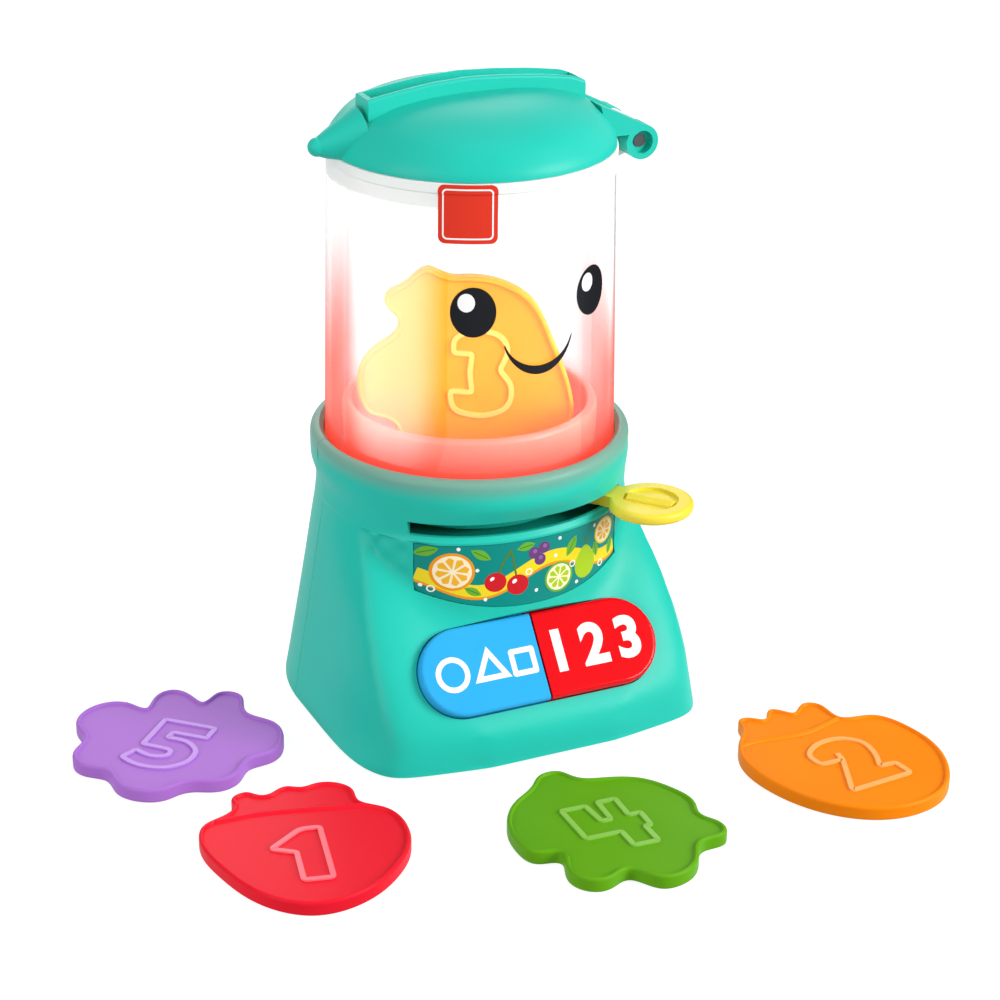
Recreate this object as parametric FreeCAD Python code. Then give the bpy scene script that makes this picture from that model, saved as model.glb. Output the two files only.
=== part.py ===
import FreeCAD, Part
import math, os

V = FreeCAD.Vector

# ------------------------------------------------------------------ driving sizes, mm
GAP = 0.3            # between bodies that move past each other
SEAT = 0.05          # between pieces fixed to each other
RUN = 0.06           # radial running clearance of a shaft in its bore
WALL = 2.6           # housing wall

# jar, an upright clear tube on the Z axis
JAR_Z0, JAR_BEAD_Z, JAR_Z1 = 98.4, 227.3, 231.7
JAR_R0, JAR_R1, JAR_T = 59.4, 57.0, 2.3
JAR_BEAD = 0.6

# housing: height, half width, front depth and squareness of each level of its flanks
FLANKS = ((0.0, 77.8, 84.9, 5.3), (12.0, 75.6, 84.9, 5.2), (26.0, 73.2, 84.6, 5.0),
          (40.0, 70.8, 83.0, 4.7), (54.0, 68.5, 78.6, 4.0), (66.0, 66.6, 71.5, 3.0),
          (76.0, 65.0, 66.0, 2.4), (82.0, 64.0, 63.8, 2.2), (87.0, 63.5, 62.9, 2.15))
COLUMN = (62.6, 61.0, 2.2)         # the upright squared oval behind the deck
NOSE_Y = 84.4                      # front of the skirt
NECK = ((87.0, 63.4, 61.1, 2.2), (95.0, 63.3, 61.1, 2.2), (98.0, 64.0, 63.1, 2.1),
        (101.5, 65.0, 65.0, 2.0), (106.0, 65.2, 65.2, 2.0), (110.8, 65.2, 65.2, 2.0),
        (112.6, 64.7, 64.7, 2.0), (113.6, 63.6, 63.6, 2.0), (114.0, 62.3, 62.3, 2.0))
NECK_Z = NECK[0][0]
FLANK_BLEND, FRONT_BLEND, NOSE_BLEND = 15.0, 8.0, 5.0     # width of each soft transition
FRONT_STEPS, BACK_STEPS, LEVEL_STEP = 60, 20, 4.3          # how closely the skin is drawn
SEAM_Y, SEAM_GAP = 4.0, 0.25
RIM_Z = 1.0          # lower rim of the housing
COLLAR_IN = 59.7     # bore of the collar that holds the jar
COLLAR_MOUTH = 1.8   # chamfer at the mouth of that bore
LEDGE = 2.5          # of the collar, under the shelf

# button deck
DECK_A = 51.4        # slope from the horizontal, degrees
PILL_Y, PILL_Z = -70.7, 38.8   # middle of the button faces
PILL_PROUD = 4.0
PILL_L, PILL_H = 51.6, 17.9    # half length and half width of the button pair
PILL_SPLIT = 0.8
WELL_GAP = 0.5
SEAT_DEEP = 0.2      # of the flanges' seat in the underside of the deck
FLANGE = 1.4         # of the buttons, under the deck
CAP_T = 2.4
BUTTON_TRAVEL = 2.5
STEM_X, STEM_END = 26.0, -13.0
BOARD_TOP, BOARD_T = -19.6, 1.6
CHIPS = ((-6, 2, 9, 9, 1.6), (12, -4, 5, 4, 1.2), (-44, 4, 4, 3, 1.0), (42, -5, 6, 5, 1.8),
         (8, 6, 3, 2, 0.9))

# lever and its slot
LEVER_A = 40.2       # angle of the lever from the front, degrees, to either side
LEVER_R, DISC_R = 80.8, 17.2
LEVER_Z0, LEVER_Z1 = 89.7, 94.3
SLOT_A = 46.5
SLOT_Z0, SLOT_Z1 = 89.1, 94.9
SLOT_IN, SLOT_OUT = 52.0, 75.0

# face panel window
PANEL_X, PANEL_TOP, PANEL_CORNER, PANEL_LOW = 44.6, 86.0, 65.4, 57.4
PANEL_T, PANEL_DEEP = 0.8, 1.0

# gear train
MODULE = 1.5
N_RING, N_SUN, N_IDLER = 48, 16, 16
GEAR_Z0, GEAR_Z1 = 88.0, 92.6
SHAFT_R, TIP_R, AXLE_R, POST_R = 3.0, 2.5, 2.6, 6.0
RING_OUT, RING_Z0 = 44.0, 84.8
COVER_Z0 = 79.4

# shelf under the jar
SHELF_Z0, SHELF_Z1, SHELF_R = 96.2, 98.2, 59.6
DIFFUSER_Z = 101.3

# dish
DISH_R, DISH_TOP, DISH_FLOOR, DISH_T = 52.0, 126.0, 104.0, 2.0
DISH_RIM, DISH_WALL = 4.2, 3.0

# lid
LID_Z, LID_T = 232.0, 2.2
LIP_R = JAR_R1 - JAR_T - 1.1
DOME = ((0.0, 21.2), (0.25, 21.0), (0.42, 20.2), (0.6, 18.4), (0.755, 15.4), (0.87, 11.6), (0.95, 6.6),
        (0.995, 2.2), (1.0, 0.0))      # share of the radius, height over the rim
RIB_L, RIB_Y0, RIB_Y1, RIB_T = 46.0, -7.0, 6.2, 2.0
ARCH_L, ARCH_R = 22.2, 20.6            # height of the rib at its two ends
ARCH = ((-0.74, 24.2), (-0.41, 26.2), (-0.09, 27.0), (0.26, 26.2), (0.59, 24.8), (0.89, 22.8))
HINGE_X, HINGE_Z, KNUCKLE_R, HINGE_PIN_R = 65.7, 228.7, 7.0, 2.6
BARREL_Y, KNUCKLE_Y = 9.0, 19.0

# base
BASE_T = 3.0
CELL_R, CELL_L, CELL_PITCH = 7.15, 50.0, 15.4
CELL_Y0, CELL_Z = 13.5, 11.2
BAY_T, CONTACT_T = 1.6, 0.5
DOOR_X, DOOR_Y0, DOOR_Y1, DOOR_T = 27.0, 5.0, 68.0, 2.0
SCREW_XY = ((-58.0, -38.0), (58.0, -38.0), (-55.0, 34.0), (55.0, 34.0))
BOSS_R, BOSS_TOP = 4.0, 17.0
SW_X, SW_Y = -52.0, -2.0

# speaker and its grille
SPK_Z, SPK_R, SPK_Y, SPK_SCREW_X = 44.0, 19.0, 60.4, 23.5
GRILLE_ROWS, GRILLE_STEP = 3, 4.6

# counters
PIECE_T = 6.0
BORDER = 2.0         # width of the raised border
FLOOR_DROP = 1.0     # depth of the face inside the border
OUTER_EDGE = ((0.0, 0.7), (0.5, 0.1), (1.1, 0.0), (4.9, 0.0), (5.4, 0.15), (5.8, 0.5), (PIECE_T, 1.0))
INNER_EDGE = ((-FLOOR_DROP, BORDER), (-0.3, BORDER - 0.35), (0.0, BORDER - 0.6), (0.6, BORDER - 0.6))
OUTLINE_STEPS = 56   # points of each level of a counter
RIDGE_R, RIDGE_Z = 1.5, 4.4            # round ridge between the crown and the body of a fruit
RIDGES = {
    "counter_1": ((-28.0, 26.0), (-20.5, 25.5), (-12.5, 25.0), (-4.5, 23.5), (9.0, 20.0), (30.0, 14.5)),
    "counter_2": ((-34.0, 22.5), (-24.5, 23.5), (-13.0, 22.0), (-2.0, 22.0), (5.5, 24.0), (16.0, 27.0))}
OUTLINES = {             # middle on the ground, then the outline round it
    "counter_1": (-115.2, -111.3, (
        (-17.0, 39.0), (-13.0, 41.5), (-8.5, 40.5), (-5.0, 36.5), (1.0, 38.5), (6.5, 39.0), (11.0, 36.5),
        (16.0, 37.0), (21.5, 36.0), (26.5, 32.0), (28.5, 26.5), (27.5, 19.0), (34.5, 10.0), (37.5, -6.5),
        (35.0, -15.5), (23.5, -30.5), (5.5, -41.5), (-13.5, -42.0), (-27.5, -30.5), (-37.0, -4.0),
        (-37.5, 17.0), (-33.0, 25.0), (-22.0, 29.5), (-18.0, 33.5))),
    "counter_2": (101.6, -138.2, (
        (-26.0, 36.5), (-24.5, 41.0), (-18.5, 40.5), (-14.0, 37.5), (-9.0, 43.5), (-4.5, 41.5),
        (-1.0, 37.5), (6.5, 42.5), (12.5, 40.0), (14.0, 32.0), (15.0, 27.0), (26.5, 23.5), (36.5, 9.0),
        (38.5, -8.0), (33.5, -25.0), (21.0, -39.5), (6.5, -44.0), (-9.0, -41.5), (-26.0, -28.5),
        (-36.5, -8.5), (-38.5, 13.0), (-33.5, 25.0))),
    "counter_4": (-6.0, -146.6, (
        (-15.5, 37.5), (-10.5, 42.5), (-1.5, 42.0), (2.5, 35.5), (12.0, 31.0), (25.5, 24.5),
        (33.5, 12.5), (36.0, 0.0), (34.0, -8.5), (38.0, -17.0), (36.0, -24.0), (25.0, -26.0),
        (18.5, -34.5), (9.0, -42.0), (-1.5, -41.0), (-9.5, -31.5), (-19.0, -34.5), (-27.5, -31.0),
        (-29.5, -20.0), (-27.5, -11.0), (-35.5, -8.0), (-39.0, 2.0), (-37.5, 13.5), (-33.0, 22.5),
        (-24.0, 31.0))),
    "counter_5": (-137.0, -18.4, (
        (-3.5, 28.0), (3.0, 35.5), (11.5, 38.5), (17.5, 31.0), (20.0, 23.5), (28.0, 28.5), (36.0, 24.0),
        (34.5, 14.5), (34.0, 7.0), (40.5, -3.0), (40.5, -16.0), (31.5, -26.5), (21.5, -28.5),
        (14.0, -36.5), (4.0, -39.0), (-7.0, -35.0), (-16.0, -37.0), (-25.5, -34.0), (-32.0, -24.5),
        (-33.0, -13.5), (-40.5, -5.5), (-40.0, 6.0), (-33.5, 14.0), (-33.0, 26.0), (-26.5, 36.0),
        (-17.0, 39.0), (-8.5, 35.5))),
}
PIECE_3 = (              # the one that stands in the dish: across, height
    (-33.0, 164.5), (-34.0, 170.0), (-28.0, 174.0), (-17.0, 181.5), (-9.5, 178.5), (-2.0, 178.0),
    (6.5, 177.5), (16.0, 174.5), (25.0, 168.0), (31.5, 156.0), (37.5, 141.0), (42.0, 125.0),
    (41.5, 114.0), (34.0, 107.0), (20.0, 105.0), (0.0, 104.5), (-12.0, 105.5), (-21.0, 105.5),
    (-28.0, 109.5), (-31.5, 115.5), (-40.0, 118.5), (-45.0, 127.5), (-44.0, 140.5), (-37.5, 148.5),
    (-30.5, 154.0), (-29.0, 159.5))
PIECE_3_Y, PIECE_3_TURN = -2.0, 24.4   # its back plane, and its turn about the jar's axis

os.makedirs("parts", exist_ok=True)
NODES = []


def save(name, shape):
    """Write one node, with split faces joined where the result stays a good solid."""
    joined = shape.removeSplitter()
    if joined.Solids and joined.isValid() and not name.startswith("counter"):
        shape = joined
    shape.exportStep("parts/" + name + ".step")
    NODES.append(name)


# ------------------------------------------------------------------ small builders
def rad(a):
    return a * math.pi / 180.0


def cyl(r, z0, z1, x=0.0, y=0.0):
    return Part.makeCylinder(r, z1 - z0, V(x, y, z0))


def tube(r1, r0, z0, z1, x=0.0, y=0.0):
    return cyl(r1, z0, z1, x, y).cut(cyl(r0, z0 - 1, z1 + 1, x, y))


def box(x0, x1, y0, y1, z0, z1):
    return Part.makeBox(x1 - x0, y1 - y0, z1 - z0, V(x0, y0, z0))


def cyl_y(r, y0, y1, x, z):
    return Part.makeCylinder(r, y1 - y0, V(x, y0, z), V(0, 1, 0))


def cyl_x(r, x0, x1, y, z):
    return Part.makeCylinder(r, x1 - x0, V(x0, y, z), V(1, 0, 0))


def path(pts, to3d):
    """Closed outline from (a, b) or (a, b, corner radius), rounded at its corners."""
    n = len(pts)
    flat = [(p[0], p[1], p[2] if len(p) > 2 else 0.0) for p in pts]
    ends, edges = [], []
    for i in range(n):
        a, b, r = flat[i]
        pa, pb, _ = flat[i - 1]
        na, nb, _ = flat[(i + 1) % n]
        if r <= 0:
            ends.append(((a, b), None, (a, b)))
            continue
        l1, l2 = math.hypot(pa - a, pb - b), math.hypot(na - a, nb - b)
        d1 = ((pa - a) / l1, (pb - b) / l1)
        d2 = ((na - a) / l2, (nb - b) / l2)
        half = math.acos(max(-1, min(1, d1[0] * d2[0] + d1[1] * d2[1]))) / 2
        t = min(r / math.tan(half), 0.49 * l1, 0.49 * l2)
        r = t * math.tan(half)
        m = (d1[0] + d2[0], d1[1] + d2[1])
        ml = math.hypot(*m)
        k = r / math.sin(half) - r
        ends.append(((a + d1[0] * t, b + d1[1] * t), (a + m[0] / ml * k, b + m[1] / ml * k),
                     (a + d2[0] * t, b + d2[1] * t)))
    for i in range(n):
        s, m, e = ends[i]
        if m is not None:
            edges.append(Part.Arc(to3d(*s), to3d(*m), to3d(*e)).toShape())
        q = ends[(i + 1) % n][0]
        if math.hypot(q[0] - e[0], q[1] - e[1]) > 1e-6:
            edges.append(Part.makeLine(to3d(*e), to3d(*q)))
    return Part.Wire(edges)


def revolve(pts):
    """Turn an (r, z) outline about the Z axis."""
    return Part.Face(path(pts, lambda a, b: V(a, 0, b))).revolve(V(0, 0, 0), V(0, 0, 1), 360)


def slab(pts, z0, z1):
    return Part.Face(path(pts, lambda a, b: V(a, b, z0))).extrude(V(0, 0, z1 - z0))


def prism_y(pts, y0, y1):
    return Part.Face(path(pts, lambda a, b: V(a, y0, b))).extrude(V(0, y1 - y0, 0))


def prism_x(pts, x0, x1):
    return Part.Face(path(pts, lambda a, b: V(x0, a, b))).extrude(V(x1 - x0, 0, 0))


def sector(r0, r1, a0, a1, z0, z1):
    """Ring sector between two angles in degrees from +X."""
    def p(r, a):
        return V(r * math.cos(rad(a)), r * math.sin(rad(a)), z0)
    m = (a0 + a1) / 2
    w = Part.Wire([Part.Arc(p(r1, a0), p(r1, m), p(r1, a1)).toShape(), Part.makeLine(p(r1, a1), p(r0, a1)),
                   Part.Arc(p(r0, a1), p(r0, m), p(r0, a0)).toShape(), Part.makeLine(p(r0, a0), p(r1, a0))])
    return Part.Face(w).extrude(V(0, 0, z1 - z0))


def fuse(*shapes):
    s = shapes[0]
    for t in shapes[1:]:
        s = s.fuse(t)
    return s


def turned(shape, deg, centre=V(0, 0, 0), axis=V(0, 0, 1)):
    s = shape.copy()
    s.rotate(centre, axis, deg)
    return s


def moved(shape, x, y, z):
    s = shape.copy()
    s.translate(V(x, y, z))
    return s


def try_fillet(shape, r, pick):
    """Round the picked edges; keep the sharp shape if the rounding fails."""
    es = [e for e in shape.Edges if pick(e)]
    if not es:
        return shape
    try:
        f = shape.makeFillet(r, es)
        if f.isValid() and f.Volume > 0.5 * shape.Volume:
            return f
    except Exception:
        pass
    return shape


def closed(pts, marks=()):
    """Smooth closed wire through a run of points; marks space them evenly along it from level to level."""
    curve = Part.BSplineCurve()
    if marks:
        curve.interpolate(Points=pts, PeriodicFlag=True, Parameters=list(marks))
    else:
        curve.interpolate(Points=pts, PeriodicFlag=True)
    return Part.Wire([curve.toShape()])


# ------------------------------------------------------------------ housing skin
def squared_oval(c, s, w, f, p):
    """Radius of one level in a direction: a squared oval in front, round behind."""
    if s >= 0:
        return w
    return (abs(c / w) ** p + abs(s / f) ** p) ** (-1.0 / p)


def smooth_min(a, b, width):
    """The smaller of two sizes, rounded where they are close."""
    near = max(width - abs(a - b), 0.0)
    return min(a, b) - near * near / (4 * width + 1e-9)


def ease(x, low, high):
    t = min(1.0, max(0.0, (x - low) / (high - low)))
    return t * t * (3 - 2 * t)


def between(levels, z):
    """Sizes of a level, worked out between the two given levels next to it."""
    for a, b in zip(levels[:-1], levels[1:]):
        if z <= b[0]:
            t = (z - a[0]) / (b[0] - a[0])
            return [a[i] + (b[i] - a[i]) * t for i in (1, 2, 3)]
    return list(levels[-1][1:])


def directions():
    """Directions round the axis, close together in front and wide apart behind."""
    front = [math.pi + math.pi * i / FRONT_STEPS for i in range(FRONT_STEPS)]
    return front + [2 * math.pi + math.pi * i / BACK_STEPS for i in range(BACK_STEPS)]


def oval(w, f, p, z):
    pts = []
    for a in directions():
        r = squared_oval(math.cos(a), math.sin(a), w, f, p)
        pts.append(V(r * math.cos(a), r * math.sin(a), z))
    return closed(pts, directions() + [3 * math.pi])


PILL_C = V(0, PILL_Y, PILL_Z)


def deck_depth(z):
    """How far in front of the axis the bare deck lies at a height."""
    return -(PILL_Y + (z - PILL_Z + PILL_PROUD / math.cos(rad(DECK_A))) / math.tan(rad(DECK_A)))


def level(z, inset):
    """One level of the housing: flanks, deck, skirt and the upright front, blended into each other."""
    w, f, p = between(FLANKS, z)
    front = smooth_min(deck_depth(z) - inset / math.sin(rad(DECK_A)), NOSE_Y - inset, NOSE_BLEND)
    pts = []
    for a in directions():
        c, s = math.cos(a), math.sin(a)
        r = squared_oval(c, s, w - inset, f - inset, p)
        if s < -1e-6:
            corner = FLANK_BLEND * ease(abs(c), 0.25, 0.6)
            r = smooth_min(r, max(front, 1.0) / -s, corner)
            upright = squared_oval(c, s, COLUMN[0] - inset, COLUMN[1] - inset, COLUMN[2])
            soft = FRONT_BLEND * ease(NECK_Z - 3.0 - z, 0.0, 24.0) * ease(-s, 0.0, 0.35)
            r = -smooth_min(-r, -upright, soft)
        pts.append(V(r * c, r * s, z))
    return closed(pts, directions() + [3 * math.pi])


def housing(inset, z0, z1=NECK_Z):
    """The housing below the neck as one smooth skin."""
    count = max(2, round((z1 - z0) / LEVEL_STEP))
    wires = [level(z0 + (z1 - z0) * i / count, inset) for i in range(count)]
    if z1 < NECK_Z:
        wires.append(level(z1, inset))
    else:
        wires.append(oval(NECK[0][1] - inset, NECK[0][2] - inset, NECK[0][3], NECK_Z))
    return Part.makeLoft(wires, True, False)


def on_deck(shape):
    """Place a shape built flat (X across, Y up the slope, Z out of the deck) on the deck."""
    s = turned(shape, DECK_A, V(0, 0, 0), V(1, 0, 0))
    s.translate(PILL_C)
    return s


def column(inset, z0, z1):
    w, f, p = COLUMN
    return Part.Face(oval(w - inset, f - inset, p, z0)).extrude(V(0, 0, z1 - z0))


neck = Part.makeLoft([oval(w, f, p, z) for z, w, f, p in NECK], True, False)
neck_in = Part.makeLoft([oval(w - WALL, f - WALL, p, z) for z, w, f, p in
                         (NECK[0], (SLOT_Z1,) + NECK[1][1:])], True, True)
bore = fuse(cyl(COLLAR_IN, SHELF_Z0, 120), cyl(COLLAR_IN - LEDGE, 90.0, 97.0))
mouth_z = NECK[-1][0]
mouth = revolve([(COLLAR_IN - 1, mouth_z - COLLAR_MOUTH), (COLLAR_IN, mouth_z - COLLAR_MOUTH),
                 (COLLAR_IN + COLLAR_MOUTH, mouth_z + 0.001), (COLLAR_IN + COLLAR_MOUTH, mouth_z + 2),
                 (COLLAR_IN - 1, mouth_z + 2)])
shell = housing(0.0, RIM_Z).fuse(neck)
shell = shell.cut(housing(WALL, 0.0).fuse(neck_in)).cut(bore.fuse(mouth))

# lever slot
shell = shell.cut(sector(SLOT_IN, SLOT_OUT, -90 - SLOT_A, -90 + SLOT_A, SLOT_Z0, SLOT_Z1))


# label recess
def window(grow):
    """Straight-sided window with a hanging curved lower edge, pushed through the front wall."""
    x, top = PANEL_X + grow, PANEL_TOP + grow
    corner, low, y = PANEL_CORNER - grow, PANEL_LOW - grow, -75.0
    wire = Part.Wire([Part.makeLine(V(-x, y, corner), V(-x, y, top)),
                      Part.makeLine(V(-x, y, top), V(x, y, top)),
                      Part.makeLine(V(x, y, top), V(x, y, corner)),
                      Part.Arc(V(x, y, corner), V(0, y, low), V(-x, y, corner)).toShape()])
    return Part.Face(wire).extrude(V(0, 39, 0))


shell = shell.cut(window(0.0).cut(column(PANEL_DEEP, 40, 95)))
film = column(PANEL_DEEP - PANEL_T, 41, 94).cut(column(PANEL_DEEP - SEAT, 40, 95))
panel = window(-GAP).common(film)


# button well
def stadium(l, h, z0, z1):
    wire = Part.Wire([Part.makeLine(V(-l + h, -h, z0), V(l - h, -h, z0)),
                      Part.Arc(V(l - h, -h, z0), V(l, 0, z0), V(l - h, h, z0)).toShape(),
                      Part.makeLine(V(l - h, h, z0), V(-l + h, h, z0)),
                      Part.Arc(V(-l + h, h, z0), V(-l, 0, z0), V(-l + h, -h, z0)).toShape()])
    return Part.Face(wire).extrude(V(0, 0, z1 - z0))


def pill(grow, z0, z1):
    """The outline of the button pair, grown or shrunk."""
    return stadium(PILL_L + grow, PILL_H + grow, z0, z1)


DECK_IN = -PILL_PROUD - WALL          # underside of the deck plate, measured from the button faces
hold = on_deck(pill(WELL_GAP + FLANGE + GAP, -22.0, DECK_IN + SEAT_DEEP))
shell = shell.cut(on_deck(pill(WELL_GAP, -16.0, 20.0)))
shell = shell.cut(hold.cut(column(WALL, 40.0, 95.0)))

# ------------------------------------------------------------------ inside posts of the housing
deck_posts = [on_deck(cyl(3.2, BOARD_TOP + 0.1, DECK_IN + 1.0, x, 0.0)) for x in (-58.0, 58.0)]
posts = []
for x, y in SCREW_XY:
    out = x + 25.0 if x > 0 else x - 25.0
    web = box(min(x, out), max(x, out), y - 1.2, y + 1.2, BASE_T + SEAT, BOSS_TOP)
    boss = cyl(BOSS_R, BASE_T + SEAT, BOSS_TOP, x, y)
    posts.append(boss.fuse(web).cut(cyl(1.5, 0, BOSS_TOP - 3.0, x, y)))

front = shell.common(box(-120, 120, -120, SEAM_Y - SEAM_GAP / 2, -5, 130))
trim = housing(0.8, RIM_Z + 1)
front = fuse(front, *[d.cut(hold).common(trim) for d in deck_posts])
front = fuse(front, *[p.common(trim) for p in posts if p.BoundBox.YMax < SEAM_Y])
save("front_shell", front)
save("face_panel", panel)


# ------------------------------------------------------------------ rear of the housing
def round_back(inset, top):
    """Behind the seam the housing is round, so its side profile is turned about Z."""
    rows = [l for l in FLANKS[:-1] if l[0] > RIM_Z] + [l for l in NECK if l[0] < top]
    low = FLANKS[0][1] - inset - 0.2
    last = NECK[-1][1] - inset if top > 100 else NECK[1][1] - inset
    z0 = RIM_Z if inset == 0 else 0
    side = Part.BSplineCurve()
    side.interpolate([V(low, 0, z0)] + [V(l[1] - inset, 0, l[0]) for l in rows] + [V(last, 0, top)])
    wire = Part.Wire([side.toShape(), Part.makeLine(V(last, 0, top), V(0, 0, top)),
                      Part.makeLine(V(0, 0, top), V(0, 0, z0)), Part.makeLine(V(0, 0, z0), V(low, 0, z0))])
    return Part.Face(wire).revolve(V(0, 0, 0), V(0, 0, 1), 360)


rear = round_back(0.0, NECK[-1][0]).cut(round_back(WALL, SLOT_Z1)).cut(bore.fuse(mouth))
rear = rear.common(box(-120, 120, SEAM_Y + SEAM_GAP / 2, 120, -5, 130))
rear = fuse(rear, *[p.common(trim) for p in posts if p.BoundBox.YMin > SEAM_Y])
seats = [cyl_y(SPK_R, SPK_Y + SEAT, 90.0, 0, SPK_Z).cut(cyl_y(SPK_R - 2.0, 0, 95.0, 0, SPK_Z))]
for x in (-SPK_SCREW_X, SPK_SCREW_X):
    seats.append(cyl_y(2.6, SPK_Y - 3.0, 90.0, x, SPK_Z))
back_trim = round_back(0.8, NECK[-1][0])
rear = fuse(rear, *[q.common(back_trim) for q in seats])
for i in range(-GRILLE_ROWS, GRILLE_ROWS + 1):
    up = i * GRILLE_STEP
    w = math.sqrt((SPK_R - 2.5) ** 2 - up ** 2)
    rear = rear.cut(box(-w, w, 50.0, 90.0, SPK_Z + up - 1.0, SPK_Z + up + 1.0))
save("rear_shell", rear)

# ------------------------------------------------------------------ base plate and battery bay
BAY_X = 1.5 * CELL_PITCH + 1.0
BAY_Y0, BAY_Y1 = CELL_Y0 - 4.5, CELL_Y0 + CELL_L + 1.5
BAY_TOP = CELL_Z + CELL_R + 0.6
DOOR_SCREW_Y = DOOR_Y1 - 3.0

base = housing(WALL + 0.25, 0.0, 8.0).common(box(-100, 100, -100, 100, 0.0, BASE_T))
bay = box(-BAY_X - BAY_T, BAY_X + BAY_T, BAY_Y0 - BAY_T, BAY_Y1 + BAY_T, BASE_T - 0.5, BAY_TOP + BAY_T)
bay = bay.cut(box(-BAY_X, BAY_X, BAY_Y0, BAY_Y1, -1, BAY_TOP))
base = base.fuse(bay)
base = base.cut(box(-BAY_X, BAY_X, BAY_Y0, BAY_Y1, -1, BASE_T + 1))
base = base.cut(box(-DOOR_X - GAP, DOOR_X + GAP, DOOR_Y0 - GAP, DOOR_Y1 + GAP, -1, DOOR_T + GAP))
for x, y in SCREW_XY:
    base = base.cut(cyl(1.7, -1, 10, x, y)).cut(cyl(3.3, -1, 1.6, x, y))
base = base.cut(box(SW_X - 6, SW_X + 6, SW_Y - 9, SW_Y + 9, -1, 1.4))
base = base.cut(box(SW_X - 2.6, SW_X + 2.6, SW_Y - 5.6, SW_Y + 5.6, -1, 4))
base = base.cut(cyl(1.6, -1, 10, 0.0, DOOR_SCREW_Y))
save("base_plate", base)

door = box(-DOOR_X, DOOR_X, DOOR_Y0, DOOR_Y1, 0.2, DOOR_T)
door = try_fillet(door, 2.0, lambda e: abs(e.BoundBox.ZLength - (DOOR_T - 0.2)) < 1e-6)
for i in range(5):
    y = DOOR_Y1 - 11.0 - 2.2 * i
    door = door.cut(box(-7, 7, y, y + 1.0, 0, 0.7))
door = door.cut(cyl(1.7, -1, 10, 0.0, DOOR_SCREW_Y)).cut(cyl(2.9, -1, 1.2, 0.0, DOOR_SCREW_Y))
save("battery_door", door)


def screw(x, y, z0, head_r, head_h, r, length):
    """Cross-head screw, head down."""
    cross, deep = head_r * 0.7, z0 + head_h * 0.55
    s = fuse(cyl(head_r, z0, z0 + head_h, x, y), cyl(r, z0 + head_h - 0.1, z0 + length, x, y))
    s = s.cut(box(x - cross, x + cross, y - 0.4, y + 0.4, z0 - 1, deep))
    return s.cut(box(x - 0.4, x + 0.4, y - cross, y + cross, z0 - 1, deep))


save("battery_door_screw", screw(0.0, DOOR_SCREW_Y, 0.3, 2.7, 0.85, 1.35, 2.2))
save("housing_screws", Part.makeCompound([screw(x, y, 0.3, 3.0, 1.25, 1.4, 12.0) for x, y in SCREW_XY]))


def contact(x, y, way, turns, height):
    """Contact plate at a bay wall, with the rising turns of its spring."""
    face = y + way * (SEAT + CONTACT_T)
    plate = box(x - 5, x + 5, min(y + way * SEAT, face), max(y + way * SEAT, face), CELL_Z - 5, CELL_Z + 5)
    for k in range(turns):
        a, b = face + way * height * k, face + way * height * (k + 1)
        turn = cyl_y(4.2 - 0.9 * k, min(a, b), max(a, b), x, CELL_Z)
        plate = plate.fuse(turn.cut(cyl_y(3.1 - 0.9 * k, BAY_Y0, BAY_Y1, x, CELL_Z)))
    return plate


cells, contacts = [], []
for i in (-1, 0, 1):
    x = i * CELL_PITCH
    tail, head = (BAY_Y1, BAY_Y0) if i == 0 else (BAY_Y0, BAY_Y1)
    y0 = CELL_Y0 + (1.0 if i == 0 else 0.0)
    y1 = y0 + CELL_L - 1.5
    nub = cyl_y(2.6, y0 - 1.0, y0 + 0.1, x, CELL_Z) if i == 0 else cyl_y(2.6, y1 - 0.1, y1 + 1.1, x, CELL_Z)
    cells.append(cyl_y(CELL_R, y0, y1, x, CELL_Z).fuse(nub))
    contacts.append(contact(x, tail, -1 if i == 0 else 1, 3, 0.35 if i == 0 else 1.0))
    contacts.append(contact(x, head, 1 if i == 0 else -1, 0, 0.0))
save("batteries", Part.makeCompound(cells))
save("battery_contacts", Part.makeCompound(contacts))

# power switch
knob_y0, knob_y1 = SW_Y - 5.2, SW_Y + 0.2
knob = fuse(box(SW_X - 4.2, SW_X + 4.2, knob_y0, knob_y1, 0.3, 1.2),
            box(SW_X - 2.2, SW_X + 2.2, knob_y0, knob_y1, 1.1, 5.0),
            box(SW_X - 4.2, SW_X + 4.2, knob_y0, knob_y1, BASE_T + GAP, 5.0))
for i in range(3):
    y = SW_Y - 4.3 + 1.5 * i
    knob = knob.cut(box(SW_X - 3.4, SW_X + 3.4, y, y + 0.6, 0, 0.7))
save("switch_knob", knob)
body = box(SW_X - 5.0, SW_X + 5.0, SW_Y - 8.5, SW_Y + 8.5, 5.4, 9.0)
for y0, y1 in ((SW_Y - 8.5, SW_Y - 6.0), (SW_Y + 6.0, SW_Y + 8.5)):
    body = body.fuse(box(SW_X - 5.0, SW_X + 5.0, y0, y1, BASE_T + SEAT, 5.5))
save("switch_body", body)


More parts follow.
